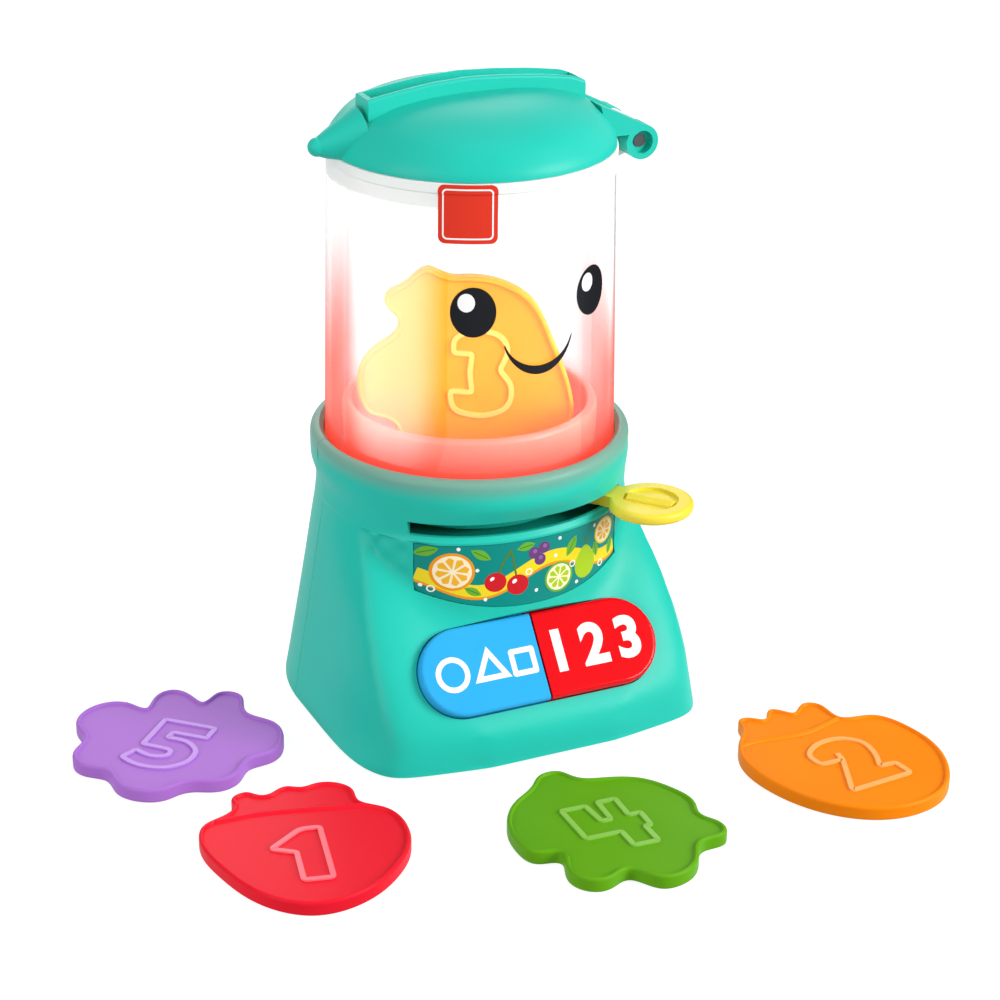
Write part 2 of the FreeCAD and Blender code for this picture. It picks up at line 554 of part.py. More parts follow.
# ------------------------------------------------------------------ buttons, pads and board
def button(side):
    """One half of the button pair: hollow cap, retaining flange, ribs and the stem over its pad."""
    near, x = PILL_SPLIT / 2, side * STEM_X
    half = box(min(side * near, side * 200), max(side * near, side * 200), -100, 100, -60, 60)
    inside = box(min(side * (near + 2), side * 200), max(side * (near + 2), side * 200), -100, 100, -60, 60)
    low = DECK_IN - GAP - 1.4
    cap = try_fillet(pill(0.0, low, 0.0), 1.6, lambda e: e.BoundBox.ZMin > -1e-6).common(half)
    cap = cap.fuse(pill(WELL_GAP + FLANGE - 0.1, low, DECK_IN - GAP).common(half))
    cap = cap.cut(pill(-2.0, -40, -CAP_T).common(inside))
    stem = cyl(3.6, STEM_END, 0.2 - CAP_T, x, 0.0)
    ribs = fuse(box(x - 18, x + 18, -0.8, 0.8, -6.5, 0.2 - CAP_T),
                box(x - 0.8, x + 0.8, -13, 13, -6.5, 0.2 - CAP_T))
    return on_deck(fuse(cap, stem, ribs))


save("blue_button", button(-1))
save("red_button", button(1))

pad_top = STEM_END - BUTTON_TRAVEL - GAP
pad = Part.makeCone(6.5, 4.2, pad_top - BOARD_TOP - SEAT, V(0, 0, BOARD_TOP + SEAT))
save("button_pads", Part.makeCompound([on_deck(moved(pad, x, 0, 0)) for x in (-STEM_X, STEM_X)]))
board = box(-62.0, 62.0, -11.0, 11.0, BOARD_TOP - BOARD_T, BOARD_TOP)
board = try_fillet(board, 2.0, lambda e: abs(e.BoundBox.ZLength - BOARD_T) < 1e-6)
for x, y, w, h, t in CHIPS:
    board = board.fuse(box(x - w / 2, x + w / 2, y - h / 2, y + h / 2, BOARD_TOP - 0.1, BOARD_TOP + t))
save("circuit_board", on_deck(board))

# ------------------------------------------------------------------ speaker in the rear wall
speaker = fuse(cyl_y(SPK_R, SPK_Y - 3.0, SPK_Y, 0, SPK_Z),
               Part.makeCone(10.0, SPK_R - 1.5, 6.2, V(0, SPK_Y - 9.0, SPK_Z), V(0, 1, 0)),
               cyl_y(10.0, SPK_Y - 14.0, SPK_Y - 8.9, 0, SPK_Z))
speaker = speaker.cut(Part.makeCone(5.0, SPK_R - 2.5, 4.0, V(0, SPK_Y - 3.99, SPK_Z), V(0, 1, 0)))
save("speaker", speaker)
clamp_y0, clamp_y1 = SPK_Y - 4.6, SPK_Y - 3.0 - SEAT
clamp = cyl_y(SPK_R + 3.0, clamp_y0, clamp_y1, 0, SPK_Z).cut(cyl_y(SPK_R - 1.0, 0, 100, 0, SPK_Z))
for x0, x1 in ((-26, -20), (20, 26)):
    clamp = clamp.fuse(box(x0, x1, clamp_y0, clamp_y1, SPK_Z - 4, SPK_Z + 4))
save("speaker_clamp", clamp)

# ------------------------------------------------------------------ jar, its shelf and the light
BEAD_R = JAR_R1 + JAR_BEAD
jar = revolve([(JAR_R0, JAR_Z0), (JAR_R1, JAR_BEAD_Z), (BEAD_R, JAR_BEAD_Z + 0.5, 0.4),
               (BEAD_R, JAR_Z1, 0.5), (JAR_R1 - JAR_T, JAR_Z1, 0.5), (JAR_R0 - JAR_T, JAR_Z0)])
barrel = cyl_y(KNUCKLE_R - 0.4, -BARREL_Y, BARREL_Y, HINGE_X, HINGE_Z)
web = prism_y([(JAR_R1 - 2.5, HINGE_Z - 7.7), (JAR_R1 + 3.5, HINGE_Z - 7.7, 3),
               (HINGE_X + 2.0, HINGE_Z - 5.5), (HINGE_X - 1.0, HINGE_Z + 3.0, 1.5),
               (JAR_R1 - 2.5, HINGE_Z + 0.8)], -BARREL_Y, BARREL_Y)
jar = fuse(jar, barrel, web.cut(cyl(JAR_R1 - JAR_T + 0.4, 200, 260)))
jar = jar.cut(cyl_y(HINGE_PIN_R + SEAT, -60, 60, HINGE_X, HINGE_Z))
save("jar", jar)

R_RING, R_SUN, R_IDLER = MODULE * N_RING / 2, MODULE * N_SUN / 2, MODULE * N_IDLER / 2
IDLER_Y = R_SUN + R_IDLER              # the idler sits behind the jar's axis

shelf = fuse(cyl(SHELF_R - 0.15, SHELF_Z0 + SEAT, SHELF_Z1), cyl(9.0, GEAR_Z1 + 0.4, SHELF_Z0 + 0.2),
             cyl(5.0, GEAR_Z1 + GAP, SHELF_Z0 + 0.2, 0, IDLER_Y))
shelf = shelf.cut(cyl(SHAFT_R + RUN, 80, 110))
shelf = shelf.cut(cyl(AXLE_R + SEAT, 80, SHELF_Z1 - 1.0, 0, IDLER_Y))
save("jar_shelf", shelf)

led = tube(34.0, 8.0, SHELF_Z1 + SEAT, SHELF_Z1 + 1.25)
for i in range(6):
    x, y = 24 * math.cos(rad(60 * i + 30)), 24 * math.sin(rad(60 * i + 30))
    led = led.fuse(box(x - 1.6, x + 1.6, y - 1.6, y + 1.6, SHELF_Z1 + 1.2, SHELF_Z1 + 2.2))
save("light_board", led)
diffuser = revolve([(DISH_R - 1.5, SHELF_Z1 + SEAT), (DISH_R + 1.0, SHELF_Z1 + SEAT),
                    (DISH_R + 1.0, DIFFUSER_Z, 1.0), (9.5, DIFFUSER_Z), (9.5, DIFFUSER_Z - 0.7),
                    (DISH_R - 1.5, DIFFUSER_Z - 0.7)])
save("light_diffuser", diffuser)

# ------------------------------------------------------------------ dish, spindle and gears
dish = revolve([(0, DISH_FLOOR - DISH_T), (DISH_R - 0.8, DISH_FLOOR - DISH_T, 4.0), (DISH_R, DISH_TOP - 6.0),
                (DISH_R, DISH_TOP, 1.9), (DISH_R - DISH_RIM, DISH_TOP, 1.9),
                (DISH_R - DISH_RIM, DISH_TOP - 3.0, 1.2), (DISH_R - DISH_WALL, DISH_TOP - 5.0, 3.0),
                (DISH_R - DISH_WALL - 0.8, DISH_FLOOR, 4.0), (0, DISH_FLOOR)])
spindle_top = DISH_FLOOR - 0.8
hub = cyl(6.5, SHELF_Z1 + GAP, DISH_FLOOR)
save("dish", dish.fuse(hub).cut(cyl(SHAFT_R + SEAT, 90, spindle_top + 0.1)))
save("dish_spindle", fuse(cyl(SHAFT_R, GEAR_Z0 - 0.2, spindle_top), cyl(TIP_R, 83.4, GEAR_Z0)))


def gear(n, outside, phase, z0, z1):
    """Gear body. outside is +1 for teeth that point out, -1 for teeth that point in."""
    pitch_r, pitch = MODULE * n / 2, 360.0 / n
    tip, root = pitch_r + outside * 0.85 * MODULE, pitch_r - outside * 1.15 * MODULE
    pts = []
    for i in range(n):
        for step, r in ((-0.36, root), (-0.12, tip), (0.12, tip), (0.36, root)):
            a = rad(phase + (i + step) * pitch)
            pts.append(V(r * math.cos(a), r * math.sin(a), z0))
    return Part.Face(Part.makePolygon(pts + [pts[0]])).extrude(V(0, 0, z1 - z0))


save("sun_gear", gear(N_SUN, 1, 90.0, GEAR_Z0, GEAR_Z1).cut(cyl(SHAFT_R + SEAT, 80, 100)))
idler = gear(N_IDLER, 1, 270.0 + 180.0 / N_IDLER, GEAR_Z0 + 0.1, GEAR_Z1)
save("idler_gear", moved(idler, 0, IDLER_Y, 0).cut(cyl(AXLE_R + RUN, 80, 100, 0, IDLER_Y)))
save("idler_axle", fuse(cyl(AXLE_R, GEAR_Z0 - 0.5, SHELF_Z1 - 1.2, 0, IDLER_Y),
                        cyl(4.2, GEAR_Z0 - 0.7, GEAR_Z0 - 0.2, 0, IDLER_Y)))

ring = cyl(RING_OUT, RING_Z0, GEAR_Z1 - 0.1).cut(gear(N_RING, -1, 90.0, GEAR_Z0 - 1.0, 99.0))
ring = ring.cut(cyl(POST_R + RUN, 80, 99))
for i in range(6):
    ring = ring.cut(cyl(6.5, 80, 99, 21 * math.cos(rad(60 * i)), 21 * math.sin(rad(60 * i))))
tang = sector(RING_OUT - 2.0, RING_OUT + 3.0, LEVER_A - 99.0, LEVER_A - 81.0, RING_Z0 + 0.7, LEVER_Z0 - SEAT)
save("lever_ring", ring.fuse(tang))

# lever: disc, neck and heel, drawn along +X and turned to its place
root_x = RING_OUT + SEAT
arm = slab([(root_x, -6.2), (60.0, -5.6), (66.0, -6.0), (74.0, -13.0), (74.0, 13.0), (66.0, 6.0),
            (60.0, 5.6), (root_x, 6.2)], LEVER_Z0, LEVER_Z1)
lever = cyl(DISC_R, LEVER_Z0, LEVER_Z1, LEVER_R, 0).fuse(arm).removeSplitter()
lever = try_fillet(lever, 1.9, lambda e: e.BoundBox.ZLength < 1e-6 and e.BoundBox.XMin > 60.5)
lever = lever.cut(cyl(11.2, LEVER_Z1 - 1.3, LEVER_Z1 + 1, LEVER_R, 0))
grip = prism_x([(-3.0, LEVER_Z1 - 1.5), (3.0, LEVER_Z1 - 1.5), (3.0, LEVER_Z1 - 0.4, 1.0),
                (0.0, LEVER_Z1 + 1.2, 2.0), (-3.0, LEVER_Z1 - 0.4, 1.0)], LEVER_R - 9.6, LEVER_R + 9.6)
lever = lever.fuse(grip.common(cyl(10.2, 80, 99, LEVER_R, 0)))
heel = sector(RING_OUT - 4.0, RING_OUT + 3.0, -8.0, 8.0, LEVER_Z0, LEVER_Z1).cut(cyl(root_x, 80, GEAR_Z1))
over = box(0, 100, -50, 50, GEAR_Z1 - 0.1 + SEAT, LEVER_Z1).fuse(box(RING_OUT, 100, -50, 50, 0, 200))
lever = lever.fuse(heel.common(over))
save("lever", turned(lever, -90 + LEVER_A))

cover = fuse(cyl(53.0, COVER_Z0, COVER_Z0 + 2.0), cyl(POST_R, COVER_Z0 + 1.8, GEAR_Z0 - 0.4),
             cyl(9.5, COVER_Z0 + 1.8, RING_Z0 - GAP))
legs = [(50 * math.cos(rad(a)), 50 * math.sin(rad(a))) for a in (5, 90, 175)]
for x, y in legs:
    cover = cover.fuse(cyl(3.6, COVER_Z0 + 1.8, SHELF_Z0, x, y))
    cover = cover.cut(cyl(1.5, 70, SHELF_Z0 - 2.5, x, y))
cover = cover.cut(cyl(TIP_R + RUN, 83.0, 99))
for i in range(8):
    a = rad(45 * i + 22.5)
    cover = cover.cut(cyl(7.5, 79, 82, 27 * math.cos(a), 27 * math.sin(a)))
save("gear_cover", cover)
cover_screws = [screw(x, y, COVER_Z0 - 1.5, 2.9, 1.45, 1.42, 12.0) for x, y in legs]
save("cover_screws", Part.makeCompound(cover_screws))

# ------------------------------------------------------------------ lid and hinge
def dome(inset, z0):
    """The lid's domed top as a solid, drawn in by a wall thickness."""
    pts = [(r * JAR_R1, LID_Z + h) for r, h in DOME]
    drawn = []
    for i, (a, b) in enumerate(pts):
        p, q = pts[max(0, i - 1)], pts[min(len(pts) - 1, i + 1)]
        tx, tz = q[0] - p[0], q[1] - p[1]
        long = math.hypot(tx, tz)
        drawn.append(V(a + tz / long * inset, 0, b - tx / long * inset))
    drawn[0] = V(0, 0, pts[0][1] - inset)
    drawn[-1] = V(JAR_R1 - inset, 0, LID_Z)
    side = Part.BSplineCurve()
    side.interpolate(drawn)
    foot = V(drawn[-1].x, 0, z0)
    edges = [side.toShape()]
    if z0 < LID_Z:
        edges.append(Part.makeLine(drawn[-1], foot))
    edges += [Part.makeLine(foot, V(0, 0, z0)), Part.makeLine(V(0, 0, z0), drawn[0])]
    return Part.Face(Part.Wire(edges)).revolve(V(0, 0, 0), V(0, 0, 1), 360)


cap = dome(0.0, LID_Z)
hollow = dome(LID_T, LID_Z - 1.0)
lid = cap.cut(hollow)
lip = revolve([(LIP_R - 2.2, LID_Z - 7.0), (LIP_R, LID_Z - 7.0, 0.8), (LIP_R + 0.4, LID_Z + 2.5),
               (LIP_R - 2.2, LID_Z + 8.5)])
lid = lid.fuse(lip.common(cap.fuse(cyl(JAR_R1, 200, LID_Z + 0.01))))
arch = [(x * RIB_L, LID_Z + h, 60.0) for x, h in ARCH]
rib = prism_y([(-RIB_L, LID_Z + 8.0), (-RIB_L, LID_Z + ARCH_L)] + arch +
              [(RIB_L, LID_Z + ARCH_R), (RIB_L, LID_Z + 8.0)], RIB_Y0, RIB_Y1)
rib = try_fillet(rib, 1.2, lambda e: e.BoundBox.ZMin > LID_Z + 19.5 and e.BoundBox.YLength < 1e-6)
rib = try_fillet(rib, 1.6, lambda e: e.BoundBox.XLength + e.BoundBox.YLength < 1e-6)
slot = box(-RIB_L + RIB_T, RIB_L - RIB_T, RIB_Y0 + RIB_T, RIB_Y1 - RIB_T, 200, 300)
beak_root, beak_way = V(10.0 - JAR_R1, 0, LID_Z + 6.0), V(-1, 0, -0.10)
beak = Part.makeCone(12.5, 3.6, 17.5, beak_root, beak_way)
beak = beak.fuse(Part.makeSphere(3.75, beak_root + V(-17.4, 0, -1.6)))
beak = beak.cut(box(-100, 0, -30, 30, 200, LID_Z)).cut(hollow)
beak = try_fillet(beak, 1.0, lambda e: e.BoundBox.ZMax < LID_Z + 1e-3 and e.BoundBox.XMax < -JAR_R1 - 0.5)
lid = lid.fuse(beak)
spout = Part.makeCone(9.6, 2.0, 16.0, beak_root, beak_way)
lid = lid.cut(spout.common(box(-100, 0, -30, 30, LID_Z + LID_T, 300)))
for y0, y1 in ((-KNUCKLE_Y, -BARREL_Y - GAP), (BARREL_Y + GAP, KNUCKLE_Y)):
    knuckle = cyl_y(KNUCKLE_R, y0, y1, HINGE_X, HINGE_Z)
    arm = prism_y([(JAR_R1 - 10.0, LID_Z + 13.2), (JAR_R1 - 2.2, LID_Z + 9.6, 6),
                   (HINGE_X + 1.2, HINGE_Z + KNUCKLE_R - 0.2), (HINGE_X - 1.0, HINGE_Z + 1.0),
                   (JAR_R1 + 2.6, LID_Z + GAP), (JAR_R1 - 7.0, LID_Z + GAP)], y0, y1)
    lid = lid.fuse(arm.cut(hollow).fuse(knuckle))
lid = lid.cut(cyl_y(HINGE_PIN_R + RUN, -60, 60, HINGE_X, HINGE_Z))
for y0, y1 in ((-KNUCKLE_Y - 1, -KNUCKLE_Y + 3.0), (KNUCKLE_Y - 3.0, KNUCKLE_Y + 1)):
    lid = lid.cut(cyl_y(4.6, y0, y1, HINGE_X, HINGE_Z))
lid = lid.fuse(rib.cut(cap)).cut(slot)
save("lid", lid)
save("hinge_pin", cyl_y(HINGE_PIN_R, -KNUCKLE_Y + 2.6, KNUCKLE_Y - 2.6, HINGE_X, HINGE_Z))


# ------------------------------------------------------------------ counters
def ridge(pts):
    """A round bead along a curve, half sunk into the face of a counter."""
    curve = Part.BSplineCurve()
    curve.interpolate([V(x, y, RIDGE_Z) for x, y in pts])
    start, way = curve.value(curve.FirstParameter), curve.tangent(curve.FirstParameter)[0]
    section = Part.Wire([Part.Circle(start, way, RIDGE_R).toShape()])
    return Part.Wire([curve.toShape()]).makePipeShell([section], True, False)


def counter(pts, bead=()):
    """A flat counter from a closed run of points, with a raised border and softened edges."""
    area = sum(pts[k - 1][0] * pts[k][1] - pts[k][0] * pts[k - 1][1] for k in range(len(pts)))
    edge = closed([V(x, y, 0) for x, y in (pts if area > 0 else pts[::-1])]).Edges[0]
    span = edge.LastParameter - edge.FirstParameter

    def outline(inset, z):
        ring = []
        for k in range(OUTLINE_STEPS):
            t = edge.FirstParameter + span * k / OUTLINE_STEPS
            p, g = edge.Curve.value(t), edge.Curve.tangent(t)[0]
            ring.append(V(p.x - g.y * inset, p.y + g.x * inset, z))
        return closed(ring, range(OUTLINE_STEPS + 1))

    body = Part.makeLoft([outline(inset, z) for z, inset in OUTER_EDGE], True, True)
    piece = body.cut(Part.makeLoft([outline(inset, PIECE_T + z) for z, inset in INNER_EDGE], True, True))
    return piece.fuse(ridge(bead).common(body)) if bead else piece


for name in sorted(OUTLINES):
    x, y, pts = OUTLINES[name]
    save(name, moved(counter(pts, RIDGES.get(name, ())), x, y, 0))
standing = turned(counter(PIECE_3), 90, V(0, 0, 0), V(1, 0, 0))
save("counter_3", turned(moved(standing, 0, PIECE_3_Y, 0), -PIECE_3_TURN))
print(len(NODES), "nodes")
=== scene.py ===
import math

import bmesh
import bpy
from mathutils import Matrix, Vector


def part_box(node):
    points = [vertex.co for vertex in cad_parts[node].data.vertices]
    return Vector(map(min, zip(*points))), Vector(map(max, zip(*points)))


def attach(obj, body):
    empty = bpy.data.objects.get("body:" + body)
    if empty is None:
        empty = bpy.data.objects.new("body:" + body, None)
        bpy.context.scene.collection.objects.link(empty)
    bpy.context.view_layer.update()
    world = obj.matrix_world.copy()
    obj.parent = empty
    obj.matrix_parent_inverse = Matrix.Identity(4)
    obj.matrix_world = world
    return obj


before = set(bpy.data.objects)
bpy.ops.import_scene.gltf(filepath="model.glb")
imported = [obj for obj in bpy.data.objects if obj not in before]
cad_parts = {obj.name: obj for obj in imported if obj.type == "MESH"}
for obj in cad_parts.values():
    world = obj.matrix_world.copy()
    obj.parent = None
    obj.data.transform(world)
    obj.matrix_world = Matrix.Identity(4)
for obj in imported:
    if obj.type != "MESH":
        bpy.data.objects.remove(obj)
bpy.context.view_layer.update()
scene = bpy.context.scene
scene.view_settings.view_transform = "Standard"

MM = 0.001


# ---------------------------------------------------------------- colours and nodes
def srgb(code):
    """The linear colour of an sRGB hex value."""
    parts = [int(code[i:i + 2], 16) / 255 for i in (1, 3, 5)]
    line = [c / 12.92 if c <= 0.04045 else ((c + 0.055) / 1.055) ** 2.4 for c in parts]
    return (*line, 1.0)


def add(tree, kind, inputs=None, **settings):
    """Add one node; an input takes a value or another node's output."""
    node = tree.nodes.new(kind)
    for name, value in settings.items():
        setattr(node, name, value)
    for name, value in (inputs or {}).items():
        if isinstance(value, bpy.types.NodeSocket):
            tree.links.new(value, node.inputs[name])
        else:
            node.inputs[name].default_value = value
    return node


def material(name):
    """A new node material with its tree and its surface shader."""
    made = bpy.data.materials.new(name)
    made.use_nodes = True
    tree = made.node_tree
    return made, tree, tree.nodes["Principled BSDF"]


def surface_is(tree, shader, output="Shader"):
    """Make a shader the whole surface of a material."""
    tree.links.new(shader.outputs[output], tree.nodes["Material Output"].inputs["Surface"])


def along(tree, way):
    """The place on the object along one axis, in metres."""
    place = add(tree, "ShaderNodeTexCoord").outputs["Object"]
    return add(tree, "ShaderNodeSeparateXYZ", {"Vector": place}).outputs[way]


def level(tree, start, end, way="Z"):
    """0 at one place along an axis and 1 at the other, in millimetres, eased at both."""
    reach = {"Value": along(tree, way), "From Min": start * MM, "From Max": end * MM}
    return add(tree, "ShaderNodeMapRange", reach, interpolation_type="SMOOTHSTEP").outputs["Result"]


# ---------------------------------------------------------------- materials
# Plain numbers of a finish are its colours, then its roughness; lengths are in mm.
FLOW_SHEEN = (-0.04, 0.05)        # how far flow marks shift a moulding's roughness
DRAWN_SHEEN = (-0.08, 0.1)        # and drawn lines a metal's


def moulded(name, colour, deep, roughness, grain=0.35, bite=0.02, flow=34.0, gloss=0.25):
    """Injection-moulded plastic: nearly even colour, faint flow marks and the fine bite of the tool's
    surface. grain and bite are the width and depth of that bite, and flow is the length of the marks."""
    made, tree, shader = material(name)
    shader.inputs["Specular IOR Level"].default_value = gloss
    place = add(tree, "ShaderNodeTexCoord").outputs["Object"]
    marks = add(tree, "ShaderNodeTexNoise", {"Vector": place, "Scale": 1 / (flow * MM), "Detail": 2.0})
    tint = add(tree, "ShaderNodeMix", {0: marks.outputs["Fac"], 6: srgb(deep), 7: srgb(colour)},
               data_type="RGBA").outputs[2]
    tree.links.new(tint, shader.inputs["Base Color"])
    fine = add(tree, "ShaderNodeTexNoise", {"Vector": place, "Scale": 1 / (grain * MM), "Detail": 3.0})
    bump = add(tree, "ShaderNodeBump", {"Height": fine.outputs["Fac"], "Strength": 0.5,
                                        "Distance": bite * MM})
    tree.links.new(bump.outputs["Normal"], shader.inputs["Normal"])
    sheen = add(tree, "ShaderNodeMapRange", {"Value": marks.outputs["Fac"],
                                             "To Min": roughness + FLOW_SHEEN[0],
                                             "To Max": roughness + FLOW_SHEEN[1]})
    tree.links.new(sheen.outputs["Result"], shader.inputs["Roughness"])
    return made, tree, shader, tint


# The heights between which the collar's painted red glow rises, the height that this painted tint stays
# below, and its share.
COLLAR_PAINTED_GLOW_RISE, COLLAR_PAINTED_GLOW_TOP = (104.0, 114.5), 118.0
COLLAR_PAINTED_GLOW_SHARE = 0.42


def abs_satin_teal():
    """ABS, spark-eroded tool: an even satin teal, with a painted red glow on the top of the collar in place
    of red light from the jar.
    """
    made, tree, shader, tint = moulded("abs_satin_teal", "#22C8B5", "#1AC0AD", 0.42, gloss=0.22)
    # painted light: the base colour is tinted red near the collar's top, where the jar's red light would
    # fall
    under_lid = add(tree, "ShaderNodeMath", {0: along(tree, "Z"), 1: COLLAR_PAINTED_GLOW_TOP * MM},
                    operation="LESS_THAN")
    painted_glow = add(tree, "ShaderNodeMath", {0: level(tree, *COLLAR_PAINTED_GLOW_RISE), 1: COLLAR_PAINTED_GLOW_SHARE},
               operation="MULTIPLY")
    share = add(tree, "ShaderNodeMath", {0: painted_glow.outputs["Value"], 1: under_lid.outputs["Value"]},
                operation="MULTIPLY")
    both = add(tree, "ShaderNodeMix", {0: share.outputs["Value"], 6: tint, 7: srgb("#B5766A")},
               data_type="RGBA")
    tree.links.new(both.outputs[2], shader.inputs["Base Color"])
    return made


def abs_underside_teal():
    """ABS from the same batch with a plainer tool surface: duller and a little darker."""
    return moulded("abs_matt_teal_underside", "#14B9A7", "#10B09E", 0.52, grain=0.5, bite=0.03,
                   gloss=0.12)[0]


# Heights in mm between which the jar's painted red glow on its wall, the painted glow round its foot and
# the colour of that glow fade, and between which the thick rim clouds up.
WALL_LIT, FOOT_LIT, LIGHT_PALES, RIM_CLOUDS = (202.0, 140.0), (134.0, 108.0), (104.0, 134.0), (220.8, 222.2)
# How edge-on the wall is seen where its painted glow starts, and where it is strongest.
EDGE_GLOW = (0.13, 0.38)
WALL_GLOW, FOOT_GLOW, RIM_CLOUD = 0.88, 0.5, 0.8


def san_clear():
    """SAN, moulded clear and glossy: see-through and clouded in its thick rim, with a painted red glow in
    its wall in place of red light carried up it. Shadow rays pass, and the glow tints nothing around it."""
    made, tree, shader = material("san_clear_moulded")
    shader.inputs["Base Color"].default_value = srgb("#FFFFFF")
    shader.inputs["Transmission Weight"].default_value = 1.0
    shader.inputs["IOR"].default_value = 1.45
    shader.inputs["Roughness"].default_value = 0.015
    # long, shallow waves that the cooling wall keeps
    place = add(tree, "ShaderNodeTexCoord").outputs["Object"]
    waves = add(tree, "ShaderNodeTexNoise", {"Vector": place, "Scale": 1 / (60 * MM), "Detail": 1.0})
    bump = add(tree, "ShaderNodeBump", {"Height": waves.outputs["Fac"], "Strength": 0.3,
                                        "Distance": 0.4 * MM})
    tree.links.new(bump.outputs["Normal"], shader.inputs["Normal"])
    # painted red glow in the wall where it is seen edge on, and all round its foot
    edge = add(tree, "ShaderNodeLayerWeight", {"Blend": 0.2}).outputs["Facing"]
    rise = add(tree, "ShaderNodeMapRange", {"Value": edge, "From Min": EDGE_GLOW[0],
                                            "From Max": EDGE_GLOW[1], "To Max": WALL_GLOW},
               interpolation_type="SMOOTHSTEP")
    wall = add(tree, "ShaderNodeMath", {0: level(tree, *WALL_LIT), 1: rise.outputs["Result"]},
               operation="MULTIPLY")
    foot = add(tree, "ShaderNodeMath", {0: level(tree, *FOOT_LIT), 1: FOOT_GLOW}, operation="MULTIPLY")
    lit = add(tree, "ShaderNodeMath", {0: wall.outputs["Value"], 1: foot.outputs["Value"]},
              operation="MAXIMUM")
    path = add(tree, "ShaderNodeLightPath")
    share = add(tree, "ShaderNodeMath", {0: lit.outputs["Value"], 1: path.outputs["Is Diffuse Ray"]},
                operation="SUBTRACT", use_clamp=True)
    colour = add(tree, "ShaderNodeMix", {0: level(tree, *LIGHT_PALES), 6: srgb("#FF2D12"),
                                         7: srgb("#FF7F70")}, data_type="RGBA")
    # painted light: this emission paints the wall's red glow, though the jar is no lamp
    glow = add(tree, "ShaderNodeEmission", {"Color": colour.outputs[2], "Strength": 1.0})
    body = add(tree, "ShaderNodeMixShader", {0: share.outputs["Value"], 1: shader.outputs["BSDF"],
                                             2: glow.outputs["Emission"]})
    bead = add(tree, "ShaderNodeBsdfDiffuse", {"Color": srgb("#F6F9F7")})
    cloud = add(tree, "ShaderNodeMath", {0: level(tree, *RIM_CLOUDS), 1: RIM_CLOUD}, operation="MULTIPLY")
    body = add(tree, "ShaderNodeMixShader", {0: cloud.outputs["Value"], 1: body.outputs["Shader"],
                                             2: bead.outputs["BSDF"]})
    clear = add(tree, "ShaderNodeBsdfTransparent", {"Color": srgb("#FCFCFC")})
    surface_is(tree, add(tree, "ShaderNodeMixShader", {0: path.outputs["Is Shadow Ray"],
                                                       1: body.outputs["Shader"],
                                                       2: clear.outputs["BSDF"]}))
    return made


DISH_PALES = (104.0, 127.0)       # from the dish's foot to its rim
DISH_GLOW = 0.36


def pp_milky():
    """Polypropylene, milky: lamps below fill it with red that pales toward the rim."""
    made, tree, shader, _ = moulded("pp_milky_moulded", "#FF8474", "#FF7868", 0.3, grain=1.2, bite=0.02)
    shader.inputs["Subsurface Weight"].default_value = 0.3
    shader.inputs["Subsurface Radius"].default_value = (6.0 * MM, 2.0 * MM, 1.5 * MM)
    shader.inputs["Subsurface Scale"].default_value = 1.0
    glow = add(tree, "ShaderNodeMix", {0: level(tree, *DISH_PALES), 6: srgb("#FF1B05"),
                                       7: srgb("#FF6A58")}, data_type="RGBA")
    tree.links.new(glow.outputs[2], shader.inputs["Emission Color"])
    shader.inputs["Emission Strength"].default_value = DISH_GLOW
    return made


def abs_gloss(name, colour, deep):
    """ABS, polished tool: a deep even colour with a clear gloss."""
    made, _, shader, _ = moulded(name, colour, deep, 0.12, grain=2.5, bite=0.006, flow=25.0, gloss=0.12)
    shader.inputs["Coat Weight"].default_value = 0.1
    shader.inputs["Coat Roughness"].default_value = 0.06
    return made


def abs_matt(name, colour, deep):
    """ABS, etched tool: the counters' fine matt bite, with hardly any gloss."""
    return moulded(name, colour, deep, 0.42, gloss=0.1)[0]


def abs_ridge(name, colour):
    """The same plastic on the numerals' raised lines: paler and a little smoother."""
    return moulded(name, colour, colour, 0.3, gloss=0.2)[0]


def label_film():
    """Printed vinyl label under a clear laminate: flat ink with a soft gloss and the film's faint tooth."""
    return moulded("vinyl_label_printed", "#0A9089", "#06877F", 0.34, grain=0.8, bite=0.008, flow=18.0,
                   gloss=0.15)[0]


def ink(name, colour):
    """Screen ink: flat colour with a trace of uneven laydown."""
    return moulded("ink_" + name, colour, colour, 0.36, grain=0.5, bite=0.006, flow=6.0, gloss=0.1)[0]


def metal(name, colour, roughness):
    """Bare or plated steel: grey, with fine drawn lines that stretch its gloss."""
    made, tree, shader = material(name)
    shader.inputs["Metallic"].default_value = 1.0
    shader.inputs["Base Color"].default_value = srgb(colour)
    place = add(tree, "ShaderNodeTexCoord").outputs["Object"]
    drawn = add(tree, "ShaderNodeMapping", {"Vector": place, "Scale": (1.0, 1.0, 0.1)})
    lines = add(tree, "ShaderNodeTexNoise", {"Vector": drawn.outputs["Vector"], "Scale": 1 / (0.4 * MM)})
    rough = add(tree, "ShaderNodeMapRange", {"Value": lines.outputs["Fac"],
                                             "To Min": roughness + DRAWN_SHEEN[0],
                                             "To Max": roughness + DRAWN_SHEEN[1]})
    tree.links.new(rough.outputs["Result"], shader.inputs["Roughness"])
    return made


def circuit_lacquer():
    """Green solder lacquer on glass fibre: tracks and pads show through as paler lines 9 mm apart."""
    made, tree, shader = material("fr4_lacquered")
    place = add(tree, "ShaderNodeTexCoord").outputs["Object"]
    tracks = add(tree, "ShaderNodeTexBrick", {"Vector": place, "Scale": 1 / (9 * MM), "Mortar Size": 0.03,
                                              "Color1": srgb("#1E6B3A"), "Color2": srgb("#1A6134"),
                                              "Mortar": srgb("#4FA06A")})
    tree.links.new(tracks.outputs["Color"], shader.inputs["Base Color"])
    shader.inputs["Roughness"].default_value = 0.3
    return made


CELL_BAND = 50.0                  # where the copper end of the cells starts, along Y


